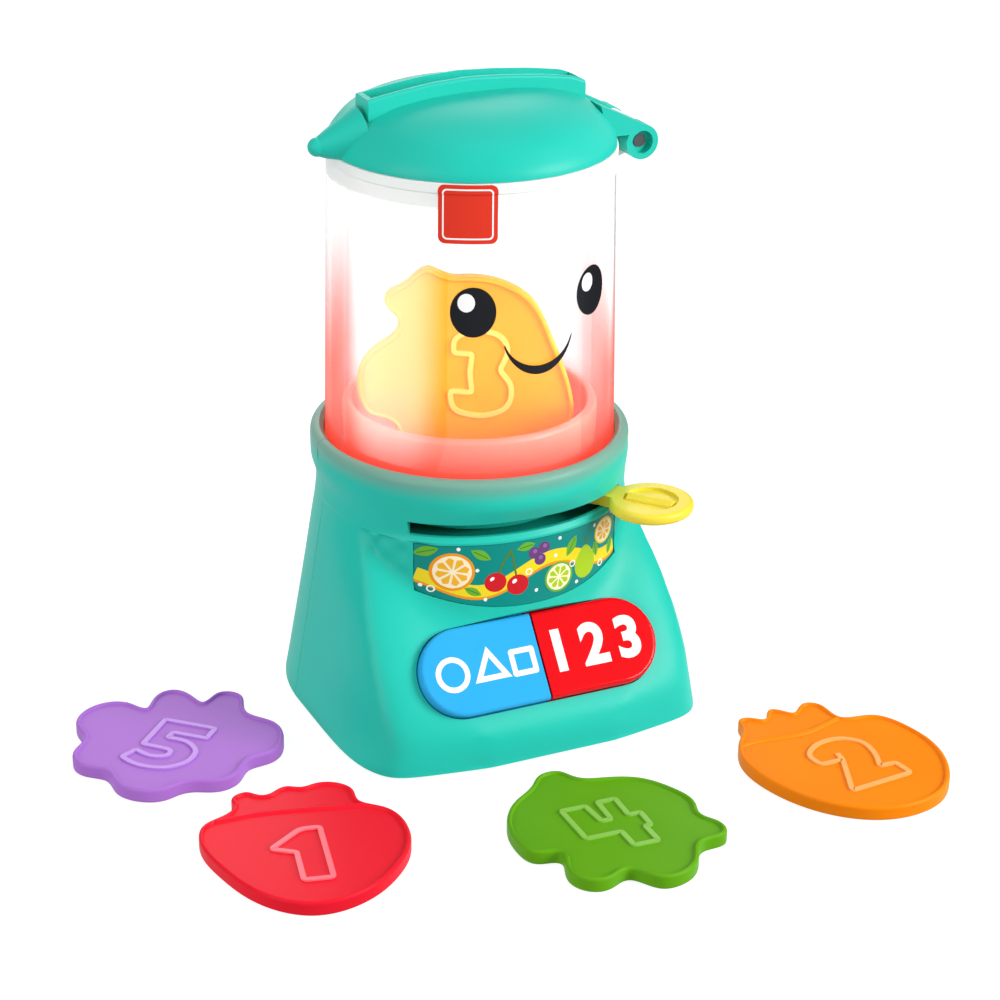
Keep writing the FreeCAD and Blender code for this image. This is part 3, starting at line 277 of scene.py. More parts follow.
def cell_sleeve():
    """Shrunk PVC sleeve of a cell: dark with a plain copper band."""
    dark = "#2B2D33"
    made, tree, shader, _ = moulded("pvc_sleeve_shrunk", dark, "#24262B", 0.28, grain=3.0, bite=0.01)
    end = add(tree, "ShaderNodeMath", {0: along(tree, "Y"), 1: CELL_BAND * MM}, operation="GREATER_THAN")
    both = add(tree, "ShaderNodeMix", {0: end.outputs["Value"], 6: srgb(dark), 7: srgb("#B87A45")},
               data_type="RGBA")
    tree.links.new(both.outputs[2], shader.inputs["Base Color"])
    return made


FINISH = {
    "teal_shell": abs_satin_teal(),
    "teal_base": abs_underside_teal(),
    "printed_label": label_film(),
    "screw_steel": metal("steel_zinc_plated", "#B9BCC0", 0.34),
    "contact_steel": metal("spring_steel_nickelled", "#C9C6BE", 0.26),
    "pin_dark": metal("steel_blackened", "#4A4E50", 0.38),
    "speaker_frame": metal("steel_stamped", "#8C8F93", 0.42),
    "cell_wrap": cell_sleeve(),
    "board_green": circuit_lacquer(),
    "clear_jar": san_clear(),
    "milky_red": pp_milky(),
    # Plain mouldings and a lacquered board, each named for its stuff and surface.
    "black_plastic": moulded("abs_black_satin", "#222427", "#1B1D20", 0.42)[0],
    "pad_silicone": moulded("silicone_moulded", "#C9CCCE", "#BFC3C6", 0.55)[0],
    "inner_white": moulded("abs_natural_white", "#E6E4DC", "#DCDAD1", 0.45)[0],
    "board_white": moulded("fr4_white_lacquer", "#F0F0EC", "#E6E6E2", 0.3)[0],
    "gear_nylon": moulded("nylon_natural", "#EDEBE3", "#E3E1D8", 0.36)[0],
    "yellow_lever": moulded("abs_yellow_satin", "#F6E24A", "#F0D93A", 0.3)[0],
    "blue_cap": abs_gloss("abs_blue_polished", "#33B0EE", "#2AA8E8"),
    "red_cap": abs_gloss("abs_red_polished", "#E8000F", "#DE000B"),
    "piece_red": abs_matt("abs_red_matt", "#F21B31", "#E9142A"),
    "piece_orange": abs_matt("abs_orange_matt", "#FF8C08", "#FA8404"),
    "piece_yellow": abs_matt("abs_yellow_matt", "#E2A312", "#DB990A"),
    "piece_green": abs_matt("abs_green_matt", "#66AB14", "#5DA20E"),
    "piece_purple": abs_matt("abs_purple_matt", "#B175D3", "#A86CCB"),
}
INK = {name: ink(name, colour) for name, colour in {
    "white": "#FFFFFF", "black": "#1C1E22", "red": "#E23A28", "cherry": "#D2222C", "orange": "#F59A1E",
    "peel": "#F7B733", "cream": "#FFF3D0", "lime": "#A9CF2A", "leaf": "#6DB33A", "vein": "#3E8A2C",
    "plum": "#6E4480", "lilac": "#9468A8", "lemon": "#F4DC2E", "stem": "#5B7F2A",
}.items()}

# What shows through the lever's slot is moulded in the housing's own teal.
IN_SLOT = ("gear_cover", "lever_ring")

for name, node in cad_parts.items():
    for held in node.material_slots:
        held.material = FINISH["teal_shell" if name in IN_SLOT else held.material.name]


# ---------------------------------------------------------------- surfaces that carry print
# The jar's outer wall narrows from its foot to the foot of the bead round its rim, in mm.
JAR_FOOT, JAR_FOOT_R = 98.4, 59.4
BEAD_FOOT, BEAD_FOOT_R = 227.3, 57.0
BEAD_OUT, BEAD_STEP = 0.6, 0.5    # how far the bead stands out, and over what height


def on_jar(across, up, lift):
    """A point of the jar's outer wall: across is an angle in degrees from the front, up a height in mm."""
    share = (min(up, BEAD_FOOT) - JAR_FOOT) / (BEAD_FOOT - JAR_FOOT)
    radius = JAR_FOOT_R + (BEAD_FOOT_R - JAR_FOOT_R) * share + lift
    radius += BEAD_OUT * min(1.0, max(0.0, (up - BEAD_FOOT) / BEAD_STEP))
    turn = math.radians(across)
    return Vector((radius * math.sin(turn), -radius * math.cos(turn), up)) * MM


# The label's face: half its oval's width, its depth, and how square the oval is.
PANEL_HALF, PANEL_DEPTH, PANEL_POWER = 62.4, 60.8, 2.2


def on_panel(across, up, lift):
    """A point of the label on the upright front face, which is a squared oval from above."""
    part = abs(across) / PANEL_HALF
    depth = PANEL_DEPTH * (1 - part ** PANEL_POWER) ** (1 / PANEL_POWER) + lift
    return Vector((across, -depth, up)) * MM


# The deck's slope, and the middle of the buttons' top faces in mm.
SLOPE = math.radians(51.4)
CAPS_AT = Vector((0.0, -70.7, 38.8))


def on_caps(across, up, lift):
    """A point of the buttons' top faces, which lie in the plane of the deck."""
    rise = Vector((0, math.cos(SLOPE), math.sin(SLOPE))) * up
    out = Vector((0, -math.sin(SLOPE), math.cos(SLOPE))) * lift
    return (CAPS_AT + Vector((across, 0, 0)) + rise + out) * MM


# ---------------------------------------------------------------- flat outlines, in mm
def polar(cx, cy, reach, degrees):
    """The point at a reach and an angle from a middle."""
    a = math.radians(degrees)
    return cx + reach * math.cos(a), cy + reach * math.sin(a)


def turned(points, cx, cy, turn):
    """Points turned by an angle in degrees and moved to a middle."""
    c, s = math.cos(math.radians(turn)), math.sin(math.radians(turn))
    return [(cx + x * c - y * s, cy + x * s + y * c) for x, y in points]


def ellipse(cx, cy, rx, ry=None, turn=0.0, count=36):
    """An ellipse, or a circle where one radius is given."""
    ry = rx if ry is None else ry
    around = [math.tau * i / count for i in range(count)]
    return turned([(rx * math.cos(a), ry * math.sin(a)) for a in around], cx, cy, turn)


def leaf(cx, cy, length, width, turn, count=9):
    """A pointed leaf: two bows that meet at both tips."""
    side = [(length * (i / count - 0.5), 0.5 * width * math.sin(math.pi * i / count) ** 0.9)
            for i in range(count)]
    return turned(side + [(-x, -y) for x, y in side], cx, cy, turn)


def rounded(x0, x1, y0, y1, radius, count=6):
    """A rectangle with round corners."""
    points = []
    for cx, cy, start in ((x1 - radius, y1 - radius, 0), (x0 + radius, y1 - radius, 90),
                          (x0 + radius, y0 + radius, 180), (x1 - radius, y0 + radius, 270)):
        points += [polar(cx, cy, radius, start + 90 * i / count) for i in range(count + 1)]
    return points


def inset(box, by):
    """The sides of a rectangle, each moved inwards."""
    x0, x1, y0, y1 = box
    return x0 + by, x1 - by, y0 + by, y1 - by


def softened(corners):
    """An outline from (x, y, rounding) corners, each cut by a small curve."""
    points = []
    for i, (x, y, cut) in enumerate(corners):
        ends = []
        for nx, ny, _ in (corners[i - 1], corners[(i + 1) % len(corners)]):
            run = math.hypot(nx - x, ny - y)
            share = min(cut, 0.45 * run) / run
            ends.append((x + (nx - x) * share, y + (ny - y) * share))
        (ax, ay), (bx, by) = ends
        for t in (0.0, 0.25, 0.5, 0.75, 1.0):
            a, b, c = (1 - t) ** 2, 2 * t * (1 - t), t * t
            points.append((a * ax + b * x + c * bx, a * ay + b * y + c * by))
    return points


def sides(line, before, after, width):
    """The two points that lie half a width to either side of a line at one of its points."""
    (x, y), (px, py), (nx, ny) = line, before, after
    run = math.hypot(nx - px, ny - py)
    ox, oy = (ny - py) / run * width / 2, -(nx - px) / run * width / 2
    return (x + ox, y + oy), (x - ox, y - oy)


def band(outline, width):
    """The two edges of an even band that follows a closed outline."""
    count = len(outline)
    pairs = [sides(outline[i], outline[i - 1], outline[(i + 1) % count], width) for i in range(count)]
    return [list(edge) for edge in zip(*pairs)]


def stroke(line, width):
    """The outline of a line of even width, square at its ends."""
    last = len(line) - 1
    pairs = [sides(line[i], line[max(0, i - 1)], line[min(last, i + 1)], width) for i in range(last + 1)]
    right, left = zip(*pairs)
    return list(left) + list(right[::-1])


# ---------------------------------------------------------------- pieces from flat outlines
def shown(name, mesh, finish):
    """Turn a bmesh into an object of the scene, in one finish."""
    data = bpy.data.meshes.new(name)
    mesh.to_mesh(data)
    mesh.free()
    data.materials.append(finish)
    made = bpy.data.objects.new(name, data)
    scene.collection.objects.link(made)
    return made


def finished(name, mesh, finish, body):
    """Turn a bmesh into a piece that rides on a body."""
    bmesh.ops.recalc_face_normals(mesh, faces=mesh.faces[:])
    piece = shown(name, mesh, finish)
    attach(piece, body)


def shift_grown(mesh, grown, way):
    """Move what an extrusion has grown."""
    corners = [g for g in grown["geom"] if isinstance(g, bmesh.types.BMVert)]
    bmesh.ops.translate(mesh, verts=corners, vec=way)


# How far each ink stands off its surface, in mm: what is printed over other ink stands off more.
LIFT = {"ribbon_edge": 0.04, "ribbon": 0.055, "ink": 0.06, "leaf": 0.065, "dot": 0.07, "fruit": 0.08,
        "legend": 0.08, "vein": 0.085, "pith": 0.09, "glint": 0.1, "top": 0.11, "border": 0.14}
STRIP = 2.0                       # width of the strips that let a print follow a round surface, in mm
FLAT = 200.0                      # a strip wider than any print, for flat surfaces


def printed(name, outlines, surface, finish, body, slot, lift=LIFT["ink"], hole=False, step=STRIP, rows=()):
    """A thin printed patch: flat outlines, cut into strips so that they follow the surface, and laid on
    it. With hole, the patch lies between two outlines. rows are the heights where the surface has a step
    and the patch is cut across."""
    mesh = bmesh.new()
    for outline in outlines:
        ring = [mesh.verts.new((x, y, 0)) for x, y in outline]
        for i, corner in enumerate(ring):
            mesh.edges.new((corner, ring[(i + 1) % len(ring)]))
    if hole:
        bmesh.ops.bridge_loops(mesh, edges=mesh.edges[:])
    else:
        bmesh.ops.holes_fill(mesh, edges=mesh.edges[:], sides=0)
    xs = [v.co.x for v in mesh.verts]
    first, last = math.ceil(min(xs) / step), math.ceil(max(xs) / step)
    cuts = [((i * step, 0, 0), (1, 0, 0)) for i in range(first, last)]
    cuts += [((0, row, 0), (0, 1, 0)) for row in rows]
    for place, way in cuts:
        whole = mesh.verts[:] + mesh.edges[:] + mesh.faces[:]
        bmesh.ops.bisect_plane(mesh, geom=whole, plane_co=place, plane_no=way)
    bmesh.ops.recalc_face_normals(mesh, faces=mesh.faces[:])
    if sum(f.normal.z for f in mesh.faces) < 0:
        bmesh.ops.reverse_faces(mesh, faces=mesh.faces[:])
    grown = bmesh.ops.extrude_face_region(mesh, geom=mesh.faces[:])
    shift_grown(mesh, grown, (0, 0, lift))
    for corner in mesh.verts:
        corner.co = surface(corner.co.x, corner.co.y, corner.co.z)
    finished(name, mesh, finish, body)


def numerals(name, words, size, place, finish, body, bold=0.0, thick=0.04, spread=1.35):
    """Plain printed numerals as a thin mesh; size, bold and thick are in mm."""
    curve = bpy.data.curves.new(name, "FONT")
    curve.body = words
    curve.size = size * MM
    curve.align_x = "CENTER"
    curve.align_y = "CENTER"
    curve.offset = bold * MM
    curve.space_character = spread
    curve.extrude = thick * MM
    holder = bpy.data.objects.new(name, curve)
    scene.collection.objects.link(holder)
    bpy.context.view_layer.update()
    data = bpy.data.meshes.new_from_object(holder)
    bpy.data.objects.remove(holder)
    mesh = bmesh.new()
    mesh.from_mesh(data)
    bpy.data.meshes.remove(data)
    bmesh.ops.remove_doubles(mesh, verts=mesh.verts[:], dist=0.001 * MM)
    for corner in mesh.verts:
        corner.co = place(corner.co)
    finished(name, mesh, finish, body)


# ---------------------------------------------------------------- red tag and face on the jar
# Angles in degrees from the front, then heights in mm, as on_jar takes them.
TAG, TAG_ROUND = (-36.8, -14.2, 208.4, 231.4), 2.6
BORDER = ((1.6, 1.8), (2.2, 1.4))             # how far in its two edges lie, and their rounding
EYES = (("left", -23.3, 181.4), ("right", 29.3, 182.6))
EYE, GLINT, GLINT_OFF = (8.8, 10.0), (3.3, 3.7), (-2.6, 3.8)
SMILE_X = 3.2
SMILE_TOP, SMILE_LOW = (172.0, 15.0, 14.0), (173.4, 15.6, 19.0)   # middle height, half width, depth


def on_wall(name, outlines, colour, layer="ink", **more):
    """Print one colour on the jar."""
    printed(name, outlines, on_jar, INK[colour], "base", "printed_label", lift=LIFT[layer], **more)


def bow(middle, half, depth, angles):
    """Part of an ellipse under the jar's face."""
    return [(SMILE_X + half * math.cos(math.radians(a)), middle + depth * math.sin(math.radians(a)))
            for a in angles]


def jar_print():
    """The red tag, which crosses the bead, the eyes and the smile."""
    bead = (BEAD_FOOT, BEAD_FOOT + BEAD_STEP)
    on_wall("jar_tag", [rounded(*TAG, TAG_ROUND)], "red", rows=bead)
    edges = [rounded(*inset(TAG, by), radius) for by, radius in BORDER]
    on_wall("jar_tag_border", edges, "white", "border", hole=True, rows=bead)
    for side, across, up in EYES:
        on_wall("eye_" + side, [ellipse(across, up, *EYE)], "black")
        glint = ellipse(across + GLINT_OFF[0], up + GLINT_OFF[1], *GLINT)
        on_wall("glint_" + side, [glint], "white", "glint")
    smile = bow(*SMILE_TOP, range(196, 345, 8)) + bow(*SMILE_LOW, range(344, 195, -8))
    on_wall("smile", [smile], "black")


# ---------------------------------------------------------------- fruit pattern on the label
# Places across the label and up from the ground, in mm.
LEAVES = ((-40.6, 83.0, 9.0, 4.2, 20), (-21.0, 81.6, 9.0, 4.0, 150), (-2.6, 83.0, 8.0, 3.6, 190),
          (18.4, 78.6, 9.4, 4.2, 60), (31.4, 73.0, 7.0, 3.2, 100), (-24.0, 65.8, 7.4, 3.4, -28),
          (40.6, 70.6, 7.6, 3.4, 75))
BERRIES = ((1.0, 79.6), (5.4, 81.2), (3.6, 76.4))
DOTS = ((-42.4, 68.0), (-22.4, 75.0), (-19.2, 62.0), (2.2, 63.0), (10.8, 76.4), (21.4, 61.8),
        (30.6, 83.6), (41.6, 85.0), (12.6, 83.6), (-29.4, 84.4))
RINGS = ((-39.0, 66.8), (-1.2, 71.8), (19.0, 70.6), (34.6, 65.4))


def on_label(name, outlines, colour, layer="ink", **more):
    """Print one colour on the label."""
    printed(name, outlines, on_panel, INK[colour], "base", "printed_label", lift=LIFT[layer], **more)


def ribbon():
    """A waving ribbon behind the fruit, with a darker lower edge."""
    wave = []
    for i in range(36):
        x = 2.5 * i - 44.0
        wave.append((x, 71.5 + 4.6 * math.sin(x / 9.5 + 0.6) + 0.05 * x))
    lower = [(x, y - 1.1) for x, y in wave]
    on_label("ribbon_edge", [stroke(lower, 5.4)], "orange", "ribbon_edge")
    on_label("ribbon", [stroke(wave, 5.4)], "lemon", "ribbon")


def citrus(name, cx, cy, radius, peel, flesh):
    """A cut citrus fruit: peel, pith and eight wedges of flesh with bowed ends."""
    on_label(name + "_peel", [ellipse(cx, cy, radius)], peel, "dot")
    on_label(name + "_pith", [ellipse(cx, cy, radius * 0.86)], "cream", "pith")
    wedges = []
    for i in range(8):
        middle = 45 * i + 12
        wedge = [polar(cx, cy, 0.12 * radius, middle)]
        for off in (-17, -12, -6, 0, 6, 12, 17):
            reach = 0.76 * radius * (1 - 0.012 * abs(off) ** 0.9)
            wedge.append(polar(cx, cy, reach, middle + off))
        wedges.append(wedge)
    on_label(name + "_flesh", wedges, flesh, "top")


def cherries():
    """Two cherries whose stems meet."""
    stems = [stroke([(-14.5, 71.0), (-12.6, 77.0), (-9.0, 82.5)], 0.8),
             stroke([(-6.4, 69.2), (-7.6, 76.0), (-9.0, 82.5)], 0.8)]
    on_label("cherry_stems", stems, "stem")
    on_label("cherries", [ellipse(-15.2, 69.2, 4.4, 4.2), ellipse(-6.0, 67.0, 4.6, 4.4)], "cherry", "fruit")
    glints = [ellipse(-16.6, 70.8, 1.0, 0.7, 40), ellipse(-7.4, 68.7, 1.1, 0.8, 40)]
    on_label("cherry_glints", glints, "white", "top")


def pear():
    """A pear: an ellipse that narrows upwards, with a short stem."""
    outline = []
    for i in range(30):
        a = math.tau * i / 30
        waist = 1.0 - 0.24 * math.sin(a) - 0.10 * math.sin(a) ** 2
        outline.append((25.6 + 5.2 * waist * math.cos(a), 69.6 + 7.2 * math.sin(a)))
    on_label("pear", [outline], "lime", "fruit")
    on_label("pear_stem", [stroke([(25.6, 77.4), (26.4, 80.2)], 1.0)], "stem")


def leaf_prints():
    """The leaves with their middle veins."""
    on_label("leaves", [leaf(*one) for one in LEAVES], "leaf", "leaf")
    veins = []
    for x, y, length, _, turn in LEAVES:
        half = 0.36 * length
        veins.append(stroke([polar(x, y, -half, turn), polar(x, y, half, turn)], 0.4))
    on_label("leaf_veins", veins, "vein", "vein")


def label_print():
    """The whole pattern, from the ribbon up to the dots."""
    ribbon()
    citrus("orange_slice", -31.5, 74.5, 8.2, "orange", "peel")
    citrus("lime_slice", 12.5, 66.6, 6.6, "leaf", "lime")
    citrus("lemon_slice", 36.4, 79.2, 5.6, "lemon", "peel")
    cherries()
    pear()
    on_label("berries", [ellipse(x, y, 2.5) for x, y in BERRIES], "plum", "fruit")
    on_label("berry_crowns", [ellipse(x + 0.3, y + 0.7, 0.9) for x, y in BERRIES], "lilac", "top")
    leaf_prints()
    on_label("dots", [ellipse(x, y, 0.75, count=16) for x, y in DOTS], "white", "dot")
    for i, (x, y) in enumerate(RINGS):
        edges = [ellipse(x, y, 1.5, count=20), ellipse(x, y, 1.0, count=20)]
        on_label("ring_%d" % i, edges, "white", "dot", hole=True)


# ---------------------------------------------------------------- legends of the buttons
# Places across and up the slope from the middle of the button bar, in mm, then sizes.
CIRCLE_AT, CIRCLE = (-38.6, -0.6), (7.2, 5.0)
TRIANGLE_AT, TRIANGLE = (-22.2, -1.2), (9.2, 4.8)
SQUARE, SQUARE_EDGES = (-13.6, -2.4, -6.4, 4.8), ((0.0, 1.2), (2.2, 0.4))
FIGURES_AT, FIGURES, FIGURES_BOLD, FIGURES_LIFT = (23.6, -0.4), 23.0, 0.85, 0.04


def on_blue(name, edges):
    """Print a white frame between two outlines on the blue button."""
    printed(name, edges, on_caps, INK["white"], "blue_button", "blue_cap", lift=LIFT["legend"], step=FLAT,
            hole=True)


def on_red(corner):
    """A point of the numerals on the red button's top face."""
    x, y, rise = corner / MM
    return on_caps(x + FIGURES_AT[0], y + FIGURES_AT[1], rise + FIGURES_LIFT)


def button_print():
    """Three plain shapes on the blue button and three numerals on the red one."""
    on_blue("legend_circle", [ellipse(*CIRCLE_AT, radius, count=48) for radius in CIRCLE])
    corners = (90, 210, 330)
    on_blue("legend_triangle", [[polar(*TRIANGLE_AT, reach, a) for a in corners] for reach in TRIANGLE])
    on_blue("legend_square", [rounded(*inset(SQUARE, by), radius) for by, radius in SQUARE_EDGES])
    numerals("legend_123", "123", FIGURES, on_red, INK["white"], "red_button", bold=FIGURES_BOLD)


# ---------------------------------------------------------------- raised numerals on the counters
FACE_DROP = 1.0                   # how far a counter's face lies below its rim
RIDGE_WIDTH, RIDGE_RISE, STROKE_DROP = 2.1, 0.7, 0.02

# Plain block numerals: corners with their rounding, in mm from the middle.
NUMERALS = {
    "1": [(-14.5, 5.5, 1.5), (-2.0, 17.5, 2.5), (5.5, 17.5, 1.5), (5.5, -17.5, 1.5), (-5.5, -17.5, 1.5),
          (-5.5, 1.5, 1.0)],
    "2": [(-13.5, 4.5, 2.0), (-14.0, 13.0, 5.0), (-5.0, 19.0, 6.0), (6.0, 18.5, 6.0), (12.5, 11.0, 6.0),
          (11.0, 1.0, 5.0), (6.5, -7.5, 1.0), (13.5, -8.5, 1.5), (14.0, -17.5, 1.5), (-14.5, -17.5, 1.5),
          (-3.5, 3.5, 1.0)],
    "3": [(-10.5, 9.0, 1.5), (-10.5, 15.5, 4.0), (-2.0, 19.0, 5.0), (8.5, 17.0, 5.0), (12.0, 10.0, 5.0),
          (8.0, 1.5, 2.0), (13.5, -5.0, 5.0), (12.0, -15.0, 6.0), (1.0, -19.0, 6.0), (-11.0, -16.0, 4.0),
          (-12.0, -7.5, 1.5), (-3.0, -8.0, 1.5), (-4.0, 0.5, 1.0), (-3.0, 8.5, 1.5)],
    "4": [(-14.5, 15.5, 1.0), (-4.5, 15.5, 1.0), (-3.0, 3.5, 1.0), (1.0, 3.5, 1.0), (1.0, 16.5, 1.0),
          (8.5, 16.5, 1.0), (8.5, 4.0, 1.0), (13.5, 4.0, 1.0), (13.5, -5.5, 1.0), (11.0, -5.5, 1.0),
          (11.5, -16.5, 1.0), (1.5, -16.5, 1.0), (1.0, -6.0, 1.0), (-13.5, -6.0, 1.0)],
    "5": [(-10.0, 17.5, 1.0), (12.0, 17.5, 1.0), (12.0, 9.0, 1.0), (-2.5, 9.0, 1.0), (-3.0, 4.5, 1.0),
          (6.0, 4.5, 4.0), (13.0, -1.5, 4.0), (13.0, -11.0, 6.0), (6.0, -18.5, 6.0), (-5.0, -19.5, 5.0),
          (-13.5, -15.5, 1.5), (-10.5, -8.5, 1.0), (-3.0, -11.5, 3.0), (3.5, -9.0, 3.0), (3.0, -4.0, 3.0),
          (-10.0, -3.5, 1.0)],
}
# The short line inside the 2's bow.
STROKES = {"2": [(-3.5, 3.5), (-2.6, 8.2)]}
# The middle of each numeral on the ground plan, and its turn in degrees.
LYING = {"1": (-117.7, -120.8, -12.7), "2": (103.1, -144.7, 5.0), "4": (-6.5, -147.8, -3.0),
         "5": (-140.5, -22.4, -43.5)}
# Counter 3 stands in the jar: its numeral's place across and up, its turn, and how far off its face is.
STANDING_AT, STANDING_TURN, STANDING_FACE = (4.0, 137.0), -24.4, 7.0
# The colour of each counter, and the paler one of its raised lines.
COUNTERS = {"1": ("red", "#FF7280"), "2": ("orange", "#FFB468"), "3": ("yellow", "#FBCB62"),
            "4": ("green", "#8CC653"), "5": ("purple", "#BE8AE2")}


def on_lying(digit):
    """What lays a point on the face of a counter that lies on the floor."""
    x, y, turn = LYING[digit]
    spot = Vector((x, y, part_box("counter_" + digit)[1].z / MM - FACE_DROP))
    spin = Matrix.Rotation(math.radians(turn), 3, "Z")
    return lambda across, up, rise: (spot + spin @ Vector((across, up, rise))) * MM


def on_standing(across, up, rise):
    """A point on the face of the counter that stands in the jar."""
    x, y = across + STANDING_AT[0], up + STANDING_AT[1]
    stand = Matrix.Rotation(math.radians(STANDING_TURN), 3, "Z")
    return stand @ Vector((x, -STANDING_FACE - rise, y)) * MM


def counter_numerals():
    """An outlined numeral on each counter's face."""
    for digit, corners in NUMERALS.items():
        colour, ridge_colour = COUNTERS[digit]
        put = dict(surface=on_lying(digit) if digit in LYING else on_standing,
                   finish=abs_ridge("abs_%s_rubbed" % colour, ridge_colour), body="counter_" + digit,
                   slot="piece_" + colour, step=FLAT)
        edges = band(softened(corners), RIDGE_WIDTH)
        printed("numeral_" + digit, edges, lift=RIDGE_RISE, hole=True, **put)
        if digit in STROKES:
            line = stroke(STROKES[digit], RIDGE_WIDTH)
            printed("numeral_%s_stroke_0" % digit, [line], lift=RIDGE_RISE - STROKE_DROP, **put)


jar_print()
label_print()
button_print()
counter_numerals()


# ---------------------------------------------------------------- floor, light and camera
FLOOR_GAP = 0.2                   # how far the floor lies below the object, in mm
FLOOR_WHITE, FLOOR_SHARE = 1.3, 0.66
WORLD_LIGHT = 0.4


def seen_share(tree, most):
    """A share of white for what the camera and clear plastic see, half of it in gloss, none as light."""
    path = add(tree, "ShaderNodeLightPath")
    half = add(tree, "ShaderNodeMath", {0: path.outputs["Is Glossy Ray"], 1: 0.5}, operation="MULTIPLY")
    first = add(tree, "ShaderNodeMath", {0: path.outputs["Is Camera Ray"], 1: half.outputs["Value"]},
                operation="MAXIMUM")
    both = add(tree, "ShaderNodeMath", {0: first.outputs["Value"], 1: path.outputs["Is Transmission Ray"]},
               operation="MAXIMUM")
    share = add(tree, "ShaderNodeMath", {0: both.outputs["Value"], 1: most}, operation="MULTIPLY")
    return share.outputs["Value"]


def floor():
    """A plain white floor that keeps the shadow and stays white to the camera. It throws no light back
    up, and it is clear from below, so that the underside can be seen."""
    mesh = bmesh.new()
    down = Matrix.Translation((0, 0, -FLOOR_GAP * MM))
    bmesh.ops.create_grid(mesh, x_segments=1, y_segments=1, size=6.0, matrix=down)
    made, tree, shader = material("floor_white_matt")
    shader.inputs["Base Color"].default_value = srgb("#F4F4F4")
    shader.inputs["Roughness"].default_value = 0.9
    white = add(tree, "ShaderNodeEmission", {"Color": srgb("#FFFFFF"), "Strength": FLOOR_WHITE})
    both = add(tree, "ShaderNodeMixShader", {0: seen_share(tree, FLOOR_SHARE), 1: shader.outputs["BSDF"],
                                             2: white.outputs["Emission"]})
    under = add(tree, "ShaderNodeNewGeometry").outputs["Backfacing"]
    clear = add(tree, "ShaderNodeBsdfTransparent")
    surface_is(tree, add(tree, "ShaderNodeMixShader", {0: under, 1: both.outputs["Shader"],
                                                       2: clear.outputs["BSDF"]}))
    ground = shown("floor", mesh, made)
    ground.visible_diffuse = False


def surroundings():
    """A white room: plain to the eye, and dimmer as a light."""
    world = bpy.data.worlds.new("studio")
    scene.world = world
    world.use_nodes = True
    tree = world.node_tree
    plain = tree.nodes["Background"]
    plain.inputs["Color"].default_value = srgb("#FFFFFF")
    plain.inputs["Strength"].default_value = WORLD_LIGHT
    white = add(tree, "ShaderNodeBackground", {"Color": srgb("#FFFFFF"), "Strength": 1.0})
    both = add(tree, "ShaderNodeMixShader", {0: seen_share(tree, 1.0), 1: plain.outputs["Background"],
                                             2: white.outputs["Background"]})
    tree.links.new(both.outputs["Shader"], tree.nodes["World Output"].inputs["Surface"])


def soft_box(name, place, aim, width, height, watts):
    """A rectangular lamp; places and sizes in metres."""
    lamp = bpy.data.lights.new(name, "AREA")
    lamp.shape = "RECTANGLE"
    lamp.size = width
    lamp.size_y = height
    lamp.energy = watts
    holder = bpy.data.objects.new(name, lamp)
    holder.location = place
    holder.rotation_euler = (Vector(aim) - Vector(place)).to_track_quat("-Z", "Y").to_euler()
    scene.collection.objects.link(holder)


PANEL_LOW, PANEL_HIGH, PANEL_FOOT = 10.0, 240.0, 60.0


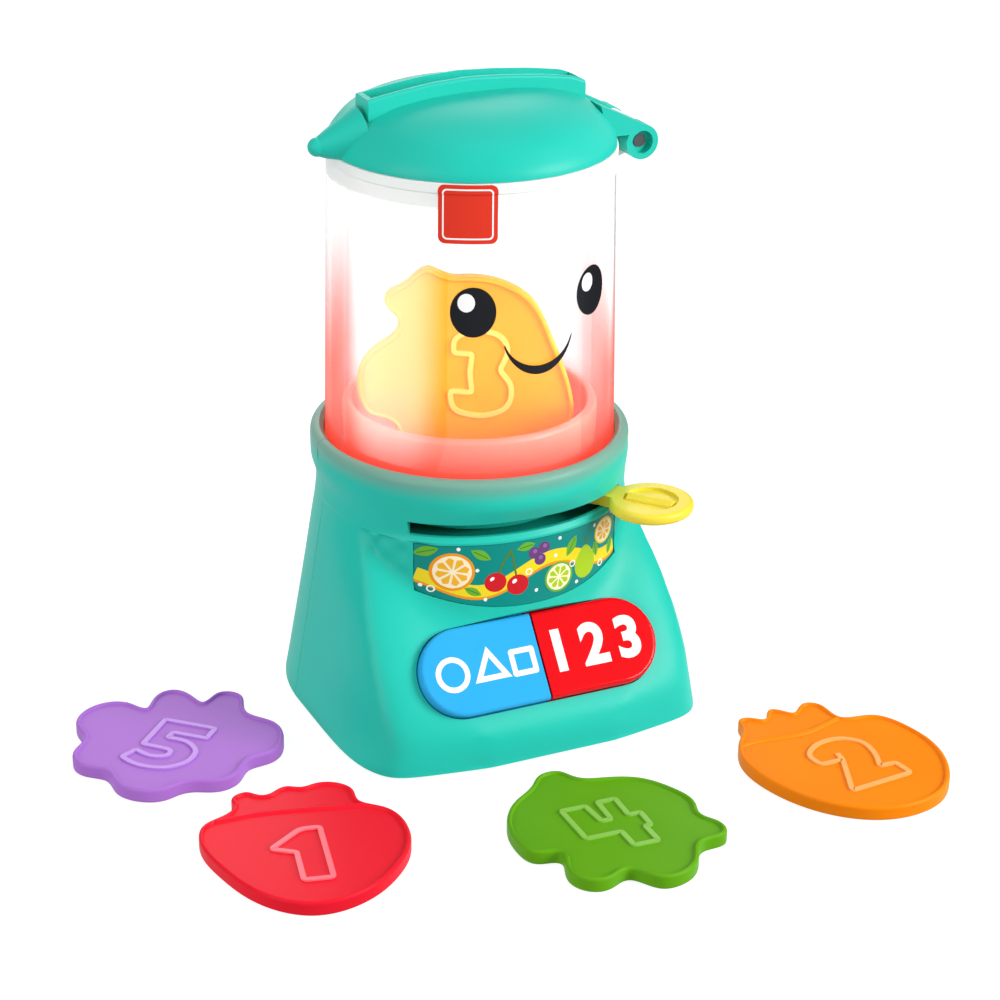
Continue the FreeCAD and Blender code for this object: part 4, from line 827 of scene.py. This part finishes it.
def reflector(name, corner, end, strength, soft, only):
    """A tall panel, soft at its ends, that only the gloss of one collection sees: it draws a soft upright
    streak there. corner and end are the ends of its foot on the ground plan, in mm."""
    mesh = bmesh.new()
    foot = [mesh.verts.new(Vector((*spot, PANEL_LOW)) * MM) for spot in (corner, end)]
    side = mesh.edges.new(foot)
    grown = bmesh.ops.extrude_edge_only(mesh, edges=[side])
    shift_grown(mesh, grown, (0, 0, (PANEL_HIGH - PANEL_LOW) * MM))
    made, tree, _ = material(name)
    power = strength
    for way, start, run in (("Y", corner[1], soft), ("Y", end[1], -soft), ("Z", PANEL_LOW, PANEL_FOOT)):
        edge = level(tree, start, start + run, way)
        power = add(tree, "ShaderNodeMath", {0: edge, 1: power}, operation="MULTIPLY").outputs["Value"]
    light = add(tree, "ShaderNodeEmission", {"Color": srgb("#FFFFFF"), "Strength": power})
    surface_is(tree, light, "Emission")
    panel = shown(name, mesh, made)
    panel.visible_camera = False
    panel.visible_diffuse = False
    panel.visible_transmission = False
    panel.visible_shadow = False
    panel.light_linking.receiver_collection = only


def reflectors():
    """Two panels for the jar's gloss alone."""
    jar_only = bpy.data.collections.new("jar_only")
    jar_only.objects.link(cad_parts["jar"])
    reflector("panel_left", (-240.0, -280.0), (-240.0, 200.0), 10.0, 200.0, jar_only)
    reflector("panel_right", (260.0, -120.0), (240.0, 200.0), 4.0, 140.0, jar_only)


CAMERA_AT = (-0.40063, -0.88230, 0.51545)
CAMERA_TURN, CAMERA_DOWN, CAMERA_ROLL = -25.186, 24.314, 0.699
CAMERA_LENS, CAMERA_SENSOR = 92.12, 36.0


def camera():
    """The view from the left of the front, 24.3 degrees down and 25.2 degrees to the right."""
    lens = bpy.data.cameras.new("camera")
    lens.lens = CAMERA_LENS
    lens.sensor_width = CAMERA_SENSOR
    eye = bpy.data.objects.new("camera", lens)
    turn = Matrix.Rotation(math.radians(CAMERA_TURN), 4, "Z")
    tilt = Matrix.Rotation(math.radians(90.0 - CAMERA_DOWN), 4, "X")
    roll = Matrix.Rotation(math.radians(CAMERA_ROLL), 4, "Z")
    eye.matrix_world = Matrix.Translation(CAMERA_AT) @ turn @ tilt @ roll
    scene.collection.objects.link(eye)
    scene.camera = eye


floor()
surroundings()
# name, place, aim, width and height in metres, power in watts
soft_box("key_right", (1.0, -1.05, 0.66), (0.0, 0.0, 0.12), 0.7, 0.7, 23.0)
soft_box("fill_left", (-0.95, -0.30, 0.45), (0.0, 0.0, 0.16), 0.45, 0.9, 5.0)
soft_box("top", (0.0, 0.1, 1.3), (0.0, 0.0, 0.1), 1.0, 1.0, 1.5)
soft_box("back", (0.35, 1.25, 0.75), (0.0, 0.0, 0.12), 0.8, 0.8, 5.0)
reflectors()
camera()
